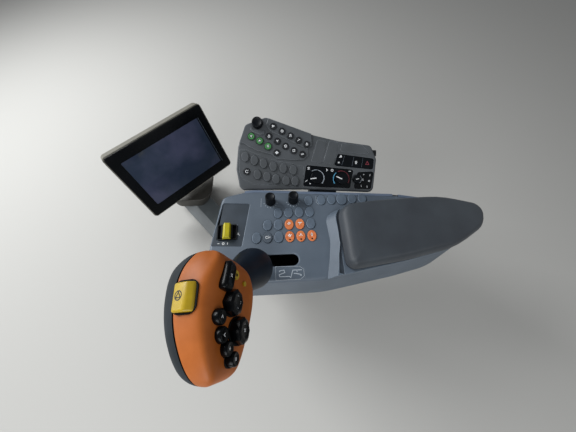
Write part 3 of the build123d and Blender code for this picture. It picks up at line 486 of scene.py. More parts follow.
# Rotary knobs: moulded in deep black phenolic, with a fluted barrel, a slight
# chamfer round the top and a smooth skirt. They press on to their spindles.
def fluted_knob(x_dir, z_dir, origin, radius, height, skirt, flutes, flute_deep):
    """Vertices and faces of a turned knob with flutes round its barrel."""
    x_dir, z_dir = Vector(x_dir).normalized(), Vector(z_dir).normalized()
    y_dir = z_dir.cross(x_dir)
    # radius, height, and how much of the flutes shows
    profile = [
        (0.0, 0.0, 0), (skirt - 0.4, 0.0, 0), (skirt, 0.5, 0), (skirt, 1.6, 0), (skirt - 0.9, 2.2, 0),
        (radius, 3.0, 1), (radius + 0.3, height - 6.0, 1), (radius + 0.5, height - 1.6, 1),
        (radius, height - 0.6, 0.3), (radius - 0.8, height, 0), (radius - 1.8, height, 0),
        (radius - 2.2, height - 0.5, 0), (0.0, height - 0.5, 0),
    ]
    around = flutes * 4
    verts = []
    for r, z, flute in profile:
        for i in range(around):
            angle = 2 * math.pi * i / around
            deep = flute_deep * flute * (0.5 - 0.5 * math.cos(2 * math.pi * i / 4))
            q = max(0.0, r - deep)
            out = x_dir * math.cos(angle) + y_dir * math.sin(angle)
            verts.append((Vector(origin) + out * q + z_dir * z) * MM)
    return verts, bands(len(profile), around)


knob = {"radius": 9.5, "height": 22, "skirt": 10, "flutes": 24, "flute_deep": 0.7}
verts, faces = joined(fluted_knob((1, 0, 0), (0, 0, 1), (x, y, DECK), **knob) for x, y in KNOB_SPOTS)
knob_black = new_material("deep_black_phenolic", {"Roughness": 0.45, "Specular IOR Level": 0.2})
two_tone(knob_black, "#05080D", "#090D13", patch_mm=8)
piece("fluted_knobs", verts, faces, knob_black, "console", replaces=["rotary_knobs"], slot="black_plastic")

# Lever ball: a boot moulded in satin black rubber in the form of a ball, with
# a thin mould line round it and a neck that runs up into the grip.
BALL = Vector((-74, 167, 207))
BALL_R = 33
NECK_TOP = Vector((-122, 190, 302))
boot_rubber = new_material("black_rubber_painted_sky_tint", {"Roughness": 0.44, "Specular IOR Level": 0.25})
# the blue in these two tones is a painted reflection of the sky on the black rubber
two_tone(boot_rubber, "#07101C", "#0C1826", patch_mm=25)
surface_bump(boot_rubber, grain_mm=1.6, deep_mm=0.03)
axis = (NECK_TOP - BALL).normalized()
side = axis.cross(Vector((0, 1, 0))).normalized()
along = axis.cross(side)
reach = (NECK_TOP - BALL).length
# radius, and height along the lever: the ball, then the neck
profile = [(BALL_R * math.sin(a), -BALL_R * math.cos(a)) for a in map(math.radians, range(0, 100, 6))]
profile += [(31.6, 12), (29.8, 22), (26.2, 42), (23.0, 60), (20.4, 76), (18.6, 90), (17.6, 102)]
profile.append((17.0, reach))
around = 64
verts = []
for r, h in profile:
    for i in range(around):
        angle = 2 * math.pi * i / around
        verts.append((BALL + axis * h + side * r * math.cos(angle) + along * r * math.sin(angle)) * MM)
faces = bands(len(profile), around)
faces.append(tuple((len(profile) - 1) * around + i for i in range(around)))
piece("ball_boot", verts, faces, boot_rubber, "lever", replaces=["lever_ball"], slot="boot_rubber")
mould_black = new_material("mould_line_black", {"Roughness": 0.9, "Specular IOR Level": 0.0})
two_tone(mould_black, "#000102", "#010203", patch_mm=9)
# out from the ball's middle, and across the line
MOULD_SECTION = [(32.42, -0.6), (32.5, 0), (32.2, 0.6)]
MOULD_AHEAD = Vector((0, 7, 0))
verts = []
for a in range(5, 111, 5):
    out = Vector((math.cos(math.radians(a)), 0, math.sin(math.radians(a))))
    verts += [(BALL + MOULD_AHEAD + out * lift + Vector((0, aside, 0))) * MM for lift, aside in MOULD_SECTION]
faces = bands(len(verts) // 3, 3)
faces += [(0, 1, 2), tuple(len(verts) - 1 - k for k in range(3))]
piece("ball_mould_line", verts, faces, mould_black, "lever")

# Grip: two ABS mouldings in matt soft-touch paint, orange towards the operator
# and dark grey for the palm, screwed together over a black rubber seal. The
# paint gives broad, weak highlights.
GRIP_MID = 332
GRIP_HALF_HIGH, GRIP_HALF_DEEP = 33, 45
SEAM_GAP = 0.08
SEAL_INSET = 1.6
# how square the ends are seen from above and from the side, and how soft the ridge is
END_SQUARE, END_ROUND, RIDGE_SOFT = 20, 3.4, 6
# y and z of the closed section seen from the side
GRIP_SIDE = [
    (152, 308), (160, 320), (170, 334.5), (180, 349.5), (188, 360.5), (198, 365), (211, 361.8), (224.5, 354),
    (235, 343.5), (241.5, 331), (243, 316), (238, 304), (226, 300), (206, 299.5), (184, 299.5), (162, 300),
]
# x, then y of the button side, of the soft ridge and of the palm side
GRIP_PLAN = [
    (-87, 178, 187, 226), (-92, 174, 185, 229), (-97, 168, 184.5, 233), (-101, 163.5, 185.5, 237),
    (-107, 158, 187.5, 240.5), (-117, 155, 190.5, 243), (-127, 153, 193, 243.5), (-142, 153.5, 195, 243),
    (-158, 156, 193.5, 240.5), (-172, 159, 190.5, 236.5), (-188, 163, 185.5, 229.5), (-201, 167, 182, 221),
    (-207, 170, 181, 215), (-212, 174, 181, 210),
]
# the corners of GRIP_SIDE at which the halves meet
SEAM_TOP, SEAM_LOW = 7, 13
# the soft fold over the end near the ball: y, half width and height of its ridge and of its hollow
FOLD_FROM = 0.45
FOLD_RIDGE, FOLD_HOLLOW = (177, 8, 4.5), (199, 9, 4)
orange_touch = new_material("soft_touch_orange_plastic", {"Roughness": 0.52, "Specular IOR Level": 0.3})
two_tone(orange_touch, "#A0551B", "#AC5E23", patch_mm=22)
surface_bump(orange_touch, grain_mm=1.2, deep_mm=0.03)
palm_touch = new_material("soft_touch_dark_grey_plastic", {"Roughness": 0.6, "Specular IOR Level": 0.2})
two_tone(palm_touch, "#192025", "#20272D", patch_mm=22)
surface_bump(palm_touch, grain_mm=1.2, deep_mm=0.03)
seal_rubber = new_material("matt_black_seal", {"Roughness": 0.8, "Specular IOR Level": 0.2})
two_tone(seal_rubber, "#050607", "#08090A", patch_mm=8)


def eased(rows, x, spread=5):
    """A table's values at x, rounded off over a few millimetres: rows run from high x to low x."""
    total = [0.0] * (len(rows[0]) - 1)
    for k in range(-3, 4):
        at = min(rows[0][0], max(rows[-1][0], x + k * spread / 3))
        for high, low in zip(rows, rows[1:]):
            if low[0] <= at <= high[0]:
                share = (at - low[0]) / (high[0] - low[0])
                total = [t + b + (a - b) * share for t, a, b in zip(total, high[1:], low[1:])]
                break
    return [t / 7 for t in total]


def section_point(t):
    """A point y, z of the grip's closed section, t corners along it."""
    i = math.floor(t)
    f = t - i
    a, b, c, d = (Vector(GRIP_SIDE[(i + k) % len(GRIP_SIDE)]) for k in (-1, 0, 1, 2))
    square, cube = 2 * a - 5 * b + 4 * c - d, 3 * b - a - 3 * c + d
    return 0.5 * (2 * b + (c - a) * f + square * f * f + cube * f ** 3)


def grip_skin(first, last, shrink=0.0, rows=64, fine=8):
    """The part of the grip between two places of its section, as vertices and faces of a closed form."""
    x_mid, x_half = ((GRIP_PLAN[0][0] + sign * GRIP_PLAN[-1][0]) / 2 for sign in (1, -1))
    y_low, y_high = min(y for y, z in GRIP_SIDE), max(y for y, z in GRIP_SIDE)
    ridge = max(GRIP_SIDE, key=lambda p: p[1])[0]
    whole = last - first >= len(GRIP_SIDE)
    steps = round((last - first) * fine)
    count = steps if whole else steps + 1
    places = [section_point(first + (last - first) * k / steps) for k in range(count)]
    verts = []
    for j in range(rows + 1):
        # rows crowd towards the rounded ends
        s = math.sin(math.radians(-88.5 + 177 * j / rows))
        u = abs(s)
        x = x_mid + x_half * s
        y0, y_ridge, y1 = eased(GRIP_PLAN, x)
        middle = (y0 + y1) / 2
        y_round = (1 - u ** END_SQUARE) ** 0.5
        z_round = (1 - u ** END_ROUND) ** (1 / END_ROUND)
        fade = max(0.0, s - FOLD_FROM) / (1 - FOLD_FROM)
        before, after = (y_ridge - y0) / (ridge - y_low), (y1 - y_ridge) / (y_high - ridge)
        for y, z in places:
            if z > GRIP_MID:
                folds = (FOLD_RIDGE, FOLD_HOLLOW)
                crest, hollow = (high * math.exp(-(((y - at) / wide) ** 2)) for at, wide, high in folds)
                z += fade * (crest - hollow)
            bend = math.log(1 + math.exp((y - ridge) / RIDGE_SOFT)) * RIDGE_SOFT
            new_y = y0 + before * (y - y_low) + (after - before) * bend
            new_y = middle + (new_y - middle) * y_round * (1 - shrink / GRIP_HALF_DEEP)
            new_z = GRIP_MID + (z - GRIP_MID) * z_round * (1 - shrink / GRIP_HALF_HIGH)
            verts.append(Vector((x_mid + (x_half - shrink) * s, new_y, new_z)) * MM)
    ends = [tuple(reversed(range(count))), tuple(rows * count + i for i in range(count))]
    return verts, bands(rows + 1, count) + ends


def sharp(made):
    """Keeps the creases of a smooth piece that are steeper than 50 degrees."""
    split = made.modifiers.new("sharp_edges", "EDGE_SPLIT")
    split.split_angle = math.radians(50)


turns = len(GRIP_SIDE)
sharp(piece(
    "grip_orange_half", *grip_skin(SEAM_LOW + SEAM_GAP, turns + SEAM_TOP - SEAM_GAP),
    orange_touch, "lever", replaces=["grip_face"], slot="grip_orange",
))
sharp(piece(
    "grip_palm_half", *grip_skin(SEAM_TOP + SEAM_GAP, SEAM_LOW - SEAM_GAP),
    palm_touch, "lever", replaces=["grip_shell"], slot="grip_black",
))
piece("grip_seal", *grip_skin(0, turns, SEAL_INSET), seal_rubber, "lever")

# Grip controls: buttons of glossy black polycarbonate and satin yellow nylon,
# each moulded with a rounded rim and a dished top, which keep the glints small.
# They stand in matt black boots, whose rings are also painted shadow for the gap round each button, and lean
# towards the operator.
FACE_POINT = Vector((-150, 186, 358.6))
FACE_Z = Vector((0, -58, 39)).normalized()
LEAN = math.radians(17)
ROCKER_TURN = math.radians(14)
BOOT_LIP, BOOT_RISE = 0.9, 0.7
gloss_black = new_material("gloss_black_polycarbonate", {"Roughness": 0.25, "Specular IOR Level": 0.13})
two_tone(gloss_black, "#040507", "#07090B", patch_mm=9)
surface_bump(gloss_black, grain_mm=2.5, deep_mm=0.01)
yellow_plastic = new_material("satin_yellow_plastic", {"Roughness": 0.4})
two_tone(yellow_plastic, "#A88C0A", "#B69910", patch_mm=12)
surface_bump(yellow_plastic, grain_mm=1.0, deep_mm=0.02)


def dished_button(
    u, v, radius, rise, sides, origin, x_dir, z_dir, foot=-2.5, top=0.80, slim=1.0, square=2.0, lean=0.0
):
    """Vertices and faces of a button with a rounded rim and a dished top, leaning from the face's normal."""
    x_dir, z_dir = Vector(x_dir).normalized(), Vector(z_dir).normalized()
    y_dir = z_dir.cross(x_dir)
    # share of the radius, and height
    profile = [
        (1.0, foot), (1.0, rise * 0.5), (0.99, rise * 0.8), (top + 0.13, rise * 0.93),
        (top + 0.07, rise * 0.99), (top, rise), (top - 0.08, rise * 0.985), (0.45, rise * 0.9),
        (0.2, rise * 0.86), (0.0, rise * 0.85),
    ]
    rim = []
    for i in range(sides):
        angle = 2 * math.pi * i / sides
        c, a = (math.copysign(abs(t) ** (2 / square), t) * radius for t in (math.cos(angle), math.sin(angle)))
        rim.append(Vector((c, a * slim)))
    if slim < 1:
        rim = [p @ Matrix.Rotation(ROCKER_TURN, 2) for p in rim]
    verts = []
    for share, z in profile:
        for p in rim:
            across = v + p.y * share * math.cos(lean) - z * math.sin(lean)
            high = z * math.cos(lean) + p.y * share * math.sin(lean)
            verts.append((Vector(origin) + x_dir * (u + p.x * share) + y_dir * across + z_dir * high) * MM)
    return verts, bands(len(profile), sides) + [tuple(reversed(range(sides)))]


# u and v on the face, radius, rise
round_buttons = [(-6, -8, 7.6, 7), (-21.5, -12, 7.6, 7), (-33, -19.5, 6.8, 7), (-42, -27.5, 6.6, 7)]
four_ways = [(8, -26, 13, 8.5), (-18, -37, 12.8, 8.5)]
yellow_buttons = [(36, -28, 5.2, 4), (29, -44.5, 2.8, 1.2)]
plane = (FACE_POINT, (1, 0, 0), FACE_Z)
buttons = [dished_button(*b, 40, *plane, foot=-6, lean=LEAN) for b in round_buttons]
piece(
    "grip_round_buttons", *joined(buttons), gloss_black, "lever",
    replaces=["grip_keys"], slot="black_plastic",
)
buttons = [dished_button(*b, 8, *plane, foot=-9, top=0.70, lean=LEAN) for b in four_ways]
piece(
    "grip_four_way_pads", *joined(buttons), gloss_black, "lever", smooth=False,
    replaces=["grip_four_ways"], slot="black_plastic",
)
buttons = [dished_button(*b, 40, *plane, foot=-4, lean=LEAN) for b in yellow_buttons]
piece(
    "grip_yellow_buttons", *joined(buttons), yellow_plastic, "lever",
    replaces=["grip_yellow_keys"], slot="yellow_plastic",
)
booted = round_buttons + four_ways + yellow_buttons[:1]
# painted shadow: these black rings are real boots and also stand in for the shade in the gap round each
# button
boots_and_gap_shadow = [dished_button(u, v, r + BOOT_LIP, BOOT_RISE, 40, *plane) for u, v, r, rise in booted]
piece("grip_boots_painted_gap_shadow", *joined(boots_and_gap_shadow), seal_rubber, "lever")
rocker = dished_button(33, -15, 15.2, 9, 64, *plane, foot=-6, top=0.74, slim=0.5, square=5, lean=LEAN)
piece("grip_rocker_key", *rocker, gloss_black, "lever", replaces=["grip_rocker"], slot="black_plastic")

# small white signs on the buttons' tops: u, v, height above the face, strokes up the face
signs = [
    (-6, -8, 6.15, [[(-1.2, -1.5), (1.2, 0), (-1.2, 1.5)]]),
    (-21.5, -12, 6.15, [[(-1.5, -1.2), (0, 1.2), (1.5, -1.2)]]),
    (-33, -19.5, 6.15, [[(-1.5, 0), (1.5, 0)], [(0, -1.5), (0, 1.5)]]),
    (-42, -27.5, 6.15, [[(-1.4, -1), (1.4, -1)], [(-1.4, 1), (1.4, 1)]]),
    (8, -26, 7.6, [
        [(5.6, -1.2), (7, 0), (5.6, 1.2)], [(-5.6, -1.2), (-7, 0), (-5.6, 1.2)],
        [(-1.2, -5.6), (0, -7), (1.2, -5.6)],
    ]),
    (-18, -37, 7.6, [
        [(5.6, -1.2), (7, 0), (5.6, 1.2)], [(-1.5, -1.5), (1.5, 1.5)], [(-1.5, 1.5), (1.5, -1.5)],
    ]),
    (33, -15, 7.95, [
        [(-1.6, -1.6), (1.6, 1.6)], [(-1.6, 1.6), (1.6, -1.6)], [(9.4, -3.6), (10.6, -1.4)],
        [(-10.8, -0.6), (-9.4, 1.6)],
    ]),
]
prints = []
y_dir = FACE_Z.cross(Vector((1, 0, 0)))
button_z = FACE_Z * math.cos(LEAN) - y_dir * math.sin(LEAN)
for u, v, rise, strokes in signs:
    at = FACE_POINT + Vector((1, 0, 0)) * u + y_dir * v + button_z * rise
    prints.append(ribbon(strokes, 0.8, 0, 0.2, at, (1, 0, 0), button_z))
flat_piece("grip_signs", prints, white_ink, "lever")
at = FACE_POINT + Vector((1, 0, 0)) * 36 + y_dir * -28 + button_z * 3.45
dot = ribbon([ring(0, 0, 0.9, points=10)], 1.8, 0, 0.25, at, (1, 0, 0), button_z)
flat_piece("grip_yellow_dot", [dot], seal_rubber, "lever")

# Quick-stop button: a wedge-topped cap of satin yellow nylon with rounded
# edges, pressed into a thin black rubber collar. A ring and a triangle are
# printed in black on its broad slope.
STOP_AT = Vector((-138, 209, 361))
STOP_X = Vector((1, 0, 0))
STOP_Z = Vector((0, 0.287, 0.958)).normalized()
STOP_Y = STOP_Z.cross(STOP_X)
STOP_LONG = 27
STOP_ROUND = 2.4
# y and z round the cap, seen from its end
wedge = [(12, -4), (12, 4.0), (-3.5, 7.0), (-11, 2.6), (-11, -4)]
work = bmesh.new()
ends = []
for x in (-STOP_LONG / 2, STOP_LONG / 2):
    ends.append([work.verts.new((STOP_AT + STOP_X * x + STOP_Y * y + STOP_Z * z) * MM) for y, z in wedge])
for k in range(len(wedge)):
    m = (k + 1) % len(wedge)
    work.faces.new((ends[0][k], ends[0][m], ends[1][m], ends[1][k]))
work.faces.new(ends[0])
work.faces.new(list(reversed(ends[1])))
bmesh.ops.recalc_face_normals(work, faces=work.faces)
bmesh.ops.bevel(
    work, geom=work.edges[:], offset=STOP_ROUND * MM, segments=4, profile=0.5, affect="EDGES",
    clamp_overlap=True,
)
work.verts.ensure_lookup_table()
stop_verts = [v.co.copy() for v in work.verts]
stop_faces = [tuple(v.index for v in f.verts) for f in work.faces]
work.free()
piece(
    "quick_stop_cap", stop_verts, stop_faces, yellow_plastic, "lever",
    replaces=["quick_stop"], slot="yellow_plastic",
)
dress(seal_rubber, "stop_collar")
slope = (STOP_Y * 3.0 + STOP_Z * 15.5).normalized()
at = STOP_AT + STOP_X + STOP_Y * 4.4 + STOP_Z * 5.47
sign = [ring(0, 0, 4.1, points=32), [(-2.9, -1.9), (2.9, -1.9), (0, 3.1), (-2.9, -1.9)]]
sign = ribbon(sign, 0.9, 0, KEY_INK, at, STOP_X.cross(slope), slope)
flat_piece("quick_stop_sign", [sign], black_key, "lever")

# Arm pad: integral-skin polyurethane foam, moulded over the lid base with a
# fine leather grain that gives a soft sheen. Its top is crowned, its front
# bulges, and it has no sewn seam.
PAD_LOW = 180.6
PAD_HIGH = 206
# x, y and corner radius of the outline
PAD_CORNERS = [
    (-80, 9, 16), (-66, -100, 300), (-47, -192, 160), (-10, -257, 44),
    (34, -273, 22), (54, -190, 200), (49, -60, 300), (42, 9, 26),
]
# distance inward from the outline, and the top's height there: at the soft front, at the crisper sides
PAD_FRONT = [(0, 188), (2, 193.2), (5, 198.2), (9, 201.6), (14, 203.6), (20, 204.8), (30, 205.6), (60, 206.4)]
PAD_SIDE = [(0, 188), (1.5, 196), (3, 200.4), (5, 203), (8, 204.4), (28, 205.6), (60, 206.4)]
PAD_VOXEL = 1.8
RIM_POINTS = 2000
# the sides' table holds behind this y
FRONT_FROM = -60
# where the pad begins to thin, over what length, and by what share of its height
TAIL_FROM, TAIL_LONG, TAIL_SHARE = -120, 153, 0.5
# the black strip round its foot
STRIP_HIGH = 3.4


def rounded_outline(corners, step_deg=6):
    """Points of a closed outline whose corners are arcs: x, y and radius."""
    points = []
    count = len(corners)
    for i, (x, y, radius) in enumerate(corners):
        p = Vector((x, y))
        a = (Vector(corners[i - 1][:2]) - p).normalized()
        b = (Vector(corners[(i + 1) % count][:2]) - p).normalized()
        half = a.angle(b) / 2
        tangent = radius / math.tan(half)
        centre = p + (a + b).normalized() * radius / math.sin(half)
        first, last = p + a * tangent - centre, p + b * tangent - centre
        sweep = first.angle_signed(last)
        steps = max(1, round(abs(math.degrees(sweep)) / step_deg))
        for k in range(steps + 1):
            angle = -sweep * k / steps
            turned = Vector((first.x * math.cos(angle) - first.y * math.sin(angle),
                             first.x * math.sin(angle) + first.y * math.cos(angle)))
            points.append(centre + turned)
    return points


def table_value(table, at):
    """The value of a two-column table at a place between its rows."""
    for (d0, h0), (d1, h1) in zip(table, table[1:]):
        if at <= d1:
            return h0 + (h1 - h0) * (at - d0) / (d1 - d0)
    return table[-1][1]


outline = rounded_outline(PAD_CORNERS)
work = bmesh.new()
low = [work.verts.new((p.x * MM, p.y * MM, PAD_LOW * MM)) for p in outline]
high = [work.verts.new((p.x * MM, p.y * MM, PAD_HIGH * MM)) for p in outline]
work.faces.new(low)
work.faces.new(high)
for i in range(len(outline)):
    k = (i + 1) % len(outline)
    work.faces.new((low[i], low[k], high[k], high[i]))
bmesh.ops.recalc_face_normals(work, faces=work.faces)
pad_mesh = bpy.data.meshes.new("arm_pad")
work.to_mesh(pad_mesh)
work.free()
pad = bpy.data.objects.new("arm_pad", pad_mesh)
bpy.context.scene.collection.objects.link(pad)
voxels = pad.modifiers.new("voxels", "REMESH")
voxels.mode = "VOXEL"
voxels.voxel_size = PAD_VOXEL * MM
soften = pad.modifiers.new("soften", "SMOOTH")
soften.factor = 0.5
soften.iterations = 4
final = bpy.data.meshes.new_from_object(pad.evaluated_get(bpy.context.evaluated_depsgraph_get()))
pad.modifiers.clear()
pad.data = final
rim = kdtree.KDTree(RIM_POINTS)
for i, p in enumerate(outline):
    q = outline[(i + 1) % len(outline)]
    steps = max(1, round((q - p).length))
    for k in range(steps):
        r = p.lerp(q, k / steps)
        rim.insert((r.x, r.y, 0), i)
rim.balance()
for vertex in final.vertices:
    x, y, z = vertex.co / MM
    nearest, i, inward = rim.find((x, y, 0))
    run = (outline[(i + 1) % len(outline)] - outline[i]).normalized()
    front = run.x ** 2 if nearest.y > FRONT_FROM else 0.0
    height = (1 - front) * table_value(PAD_SIDE, inward) + front * table_value(PAD_FRONT, inward)
    share = max(0.0, (z - PAD_LOW) / (PAD_HIGH - PAD_LOW))
    fall = min(1.0, max(0.0, (TAIL_FROM - y) / TAIL_LONG))
    vertex.co.z = (PAD_LOW + share * (height - PAD_LOW) * (1 - TAIL_SHARE * fall ** 1.4)) * MM
even = pad.modifiers.new("even", "SMOOTH")
even.factor = 0.5
even.iterations = 2
skin = new_material(
    "grained_polyurethane_skin", {"Roughness": 0.55, "Specular IOR Level": 0.42, "Sheen Weight": 0.08}
)
two_tone(skin, "#2F343A", "#373D43", patch_mm=70)
surface_bump(skin, grain_mm=2.2, deep_mm=0.10, kind=LEATHER)
final.materials.clear()
final.materials.append(skin)
final.materials.append(seal_rubber)
for face in final.polygons:
    face.material_index = int(face.center.z < (PAD_LOW + STRIP_HIGH) * MM)
final.shade_smooth()
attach(pad, "armrest")
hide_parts("armrest_pad")

# Display arm: a box bent and welded from sheet steel and bolted to the console,
# painted satin grey. The paint shows a weak orange peel.
arm_paint = new_material("satin_grey_paint", {"Roughness": 0.35})
two_tone(arm_paint, "#575D5F", "#63696B", patch_mm=50)
surface_bump(arm_paint, grain_mm=2.5, deep_mm=0.02)
dress(arm_paint, "display_arm")

# Pedestal and swivel yoke: cast cores under mouldings of warm dark grey ABS,
# clipped on, whose fine grain keeps them dull.
warm_dark = new_material("grained_warm_grey_plastic", {"Roughness": 0.5})
two_tone(warm_dark, "#34322E", "#3D3B36", patch_mm=30)
surface_bump(warm_dark, grain_mm=1.8, deep_mm=0.06)
dress(warm_dark, "pedestal", "swivel_yoke")

# Display: a rear housing of fine-grained warm grey ABS, a moulded gloss black
# front frame with a painted highlight line beside the glass, for the light
# caught on its inner edge, and a switched-off screen whose colour wanders in
# faint, blurred patches, a painted reflection of the room.
housing = new_material("fine_grained_warm_grey_abs", {"Roughness": 0.5})
two_tone(housing, "#67655C", "#737166", patch_mm=40)
surface_bump(housing, grain_mm=1.6, deep_mm=0.05)
dress(housing, "display_back")
gloss_frame = new_material("gloss_black_abs", {"Roughness": 0.22, "Specular IOR Level": 0.2})
two_tone(gloss_frame, "#040608", "#07090C", patch_mm=40)
surface_bump(gloss_frame, grain_mm=6, deep_mm=0.01)
dress(gloss_frame, "display_bezel")
screen_painted_reflection = new_material("dark_screen_with_painted_reflection", {"Roughness": 0.09})
# painted reflection: blurred patches of two tones stand in for the room mirrored in the glass
two_tone(screen_painted_reflection, "#2D3749", "#474B62", patch_mm=110, low=0.42, high=0.62)
dress(screen_painted_reflection, "display_screen")
# a painted highlight of the frame's inner edge runs up beside the screen's right edge, as the operator sees
# it
HIGHLIGHT_OUT = 3.4
HIGHLIGHT_WIDE = 0.9
SCREEN_RIGHT = Vector((0.6652, -0.7466, 0))
SCREEN_OUT = Vector((-0.6767, -0.6029, 0.4226))
screen_up = SCREEN_OUT.cross(SCREEN_RIGHT)
screen, bezel = (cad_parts[name] for name in ("display_screen", "display_bezel"))
glass = [screen.matrix_world @ v.co / MM for v in screen.data.vertices]
highlight_u = max(p.dot(SCREEN_RIGHT) for p in glass) + HIGHLIGHT_OUT
low, high = min(p.dot(screen_up) for p in glass), max(p.dot(screen_up) for p in glass)
level = max((bezel.matrix_world @ v.co / MM).dot(SCREEN_OUT) for v in bezel.data.vertices)
# painted highlight: a grey line on the black frame where its inner edge catches light
painted_bezel_highlight = new_material("painted_bezel_edge_highlight", {"Roughness": 0.4})
two_tone(painted_bezel_highlight, "#4C5864", "#56626E", patch_mm=20)
bezel_highlight = [[(highlight_u, low + 2), (highlight_u, high)], ring(highlight_u + 1.2, low - 1, 0.6, points=8)]
bezel_highlight = ribbon(bezel_highlight, HIGHLIGHT_WIDE, 0, 0.15, SCREEN_OUT * level, SCREEN_RIGHT, SCREEN_OUT)
flat_piece("display_painted_edge_highlight", [bezel_highlight], painted_bezel_highlight, "display")

# Side pod: a face and a back moulded in grained grey ABS and screwed together,
# with blank key caps in the same colour, satin black panels, charcoal and green
# round keys and a knurled knob.
POD_AT = Vector((112, 60, 159))
POD_TILT = math.radians(28)
POD_X = Vector((math.cos(POD_TILT), 0, math.sin(POD_TILT)))
POD_Z = Vector((-math.sin(POD_TILT), 0, math.cos(POD_TILT)))
POD_KNOB = (133, 98)
# heights of the keys' tops on the face's three terraces
HIGH_TOP, MIDDLE_TOP, LOW_TOP = 4.7, 3.1, 1.5
# u and v of each green key
GREEN_KEYS = [(107, 112), (97, 95), (85, 78)]


def pod_point(u, v, w):
    """A place on the pod in mm: u outboard up its face, v forward, w out of the face."""
    return POD_AT + POD_X * u + Vector((0, v, 0)) + POD_Z * w


pod_abs = new_material("grained_pod_abs", {"Roughness": 0.5})
two_tone(pod_abs, "#424649", "#4A4E52", patch_mm=40)
surface_bump(pod_abs, grain_mm=GRAIN_MM, deep_mm=0.06, kind=LEATHER)
# painted light: highlights painted along the pod's edges and shade painted into its grooves and round its
# ovals
edges_with_painted_light(pod_abs, round_mm=1.6, corner_mm=5, darkest_painted_shade=0.05, painted_edge_highlight=2.8)
dress(pod_abs, "pod_back", "pod_face", "pod_ovals", "pod_blanks")
panel_black = new_material("satin_black_panel", {"Roughness": 0.33, "Specular IOR Level": 0.14})
two_tone(panel_black, "#05080B", "#080C11", patch_mm=20)
surface_bump(panel_black, grain_mm=1.2, deep_mm=0.01)
dress(panel_black, "climate_panel", "switch_strip", "mode_keypad", "climate_dials")
round_key = new_material("satin_charcoal_key", {"Roughness": 0.4})
two_tone(round_key, "#15181B", "#1B1E22", patch_mm=8)
surface_bump(round_key, grain_mm=0.9, deep_mm=0.015)
# painted light: highlights painted on the keys' rims and shade painted round them
edges_with_painted_light(round_key, round_mm=0.8, corner_mm=2, darkest_painted_shade=0.5)
dress(round_key, "pod_round_keys")
knob = {"radius": 10.6, "height": 12.6, "skirt": 11.2, "flutes": 28, "flute_deep": 0.4}
knob = fluted_knob(POD_X, POD_Z, pod_point(*POD_KNOB, 1.6), **knob)
piece("pod_knurled_knob", *knob, knob_black, "console", replaces=["pod_knob"], slot="black_plastic")
green_key = new_material("dark_green_key_rim", {"Roughness": 0.45})
two_tone(green_key, "#243A2A", "#2A4431", patch_mm=5)
dress(green_key, "pod_green_keys")
green_top = new_material("grey_green_key_top", {"Roughness": 0.5})
two_tone(green_top, "#3A5440", "#435F49", patch_mm=5)
green_lens = new_material("bright_green_light_ring", {"Roughness": 0.4})
two_tone(green_lens, "#3F9A46", "#4BA952", patch_mm=5)
plane = (pod_point(0, 0, MIDDLE_TOP), POD_X, POD_Z)
lenses = [dished_button(u, v, 5.8, 0.35, 32, *plane, foot=-0.5) for u, v in GREEN_KEYS]
piece("green_key_tops", *joined(lenses), green_top, "console")
light_ring = ring(0, 0, 5.2, points=32)
rings = [
    ribbon([light_ring], 1.2, 0, 0.25, pod_point(u, v, MIDDLE_TOP + 0.2), (0, -1, 0), POD_Z)
    for u, v in GREEN_KEYS
]
flat_piece("green_key_rings", rings, green_lens)


# Pod prints: pad-printed in matt ink, a little proud of what they stand on:
# white pictograms on the round keys, the dials' pointers and the signs of the
# two key panels, and the climate panel's scales in pale grey, blue and red.
def pod_print(u, v, w, strokes, width):
    """Strokes on the pod's face about u, v, at height w: right and up as the operator sees them."""
    return ribbon(strokes, width, 0, KEY_INK, pod_point(u, v, w), (0, -1, 0), POD_Z)


# heights of the green keys' tops, of the panels and of the dials
GREEN_TOP = 3.4
PANEL_TOP = 0.4
DIAL_TOP = 12.4
FAN_DIAL, HEAT_DIAL, SMALL_DIAL = (15, -21), (11, -75), (9, -108.3)
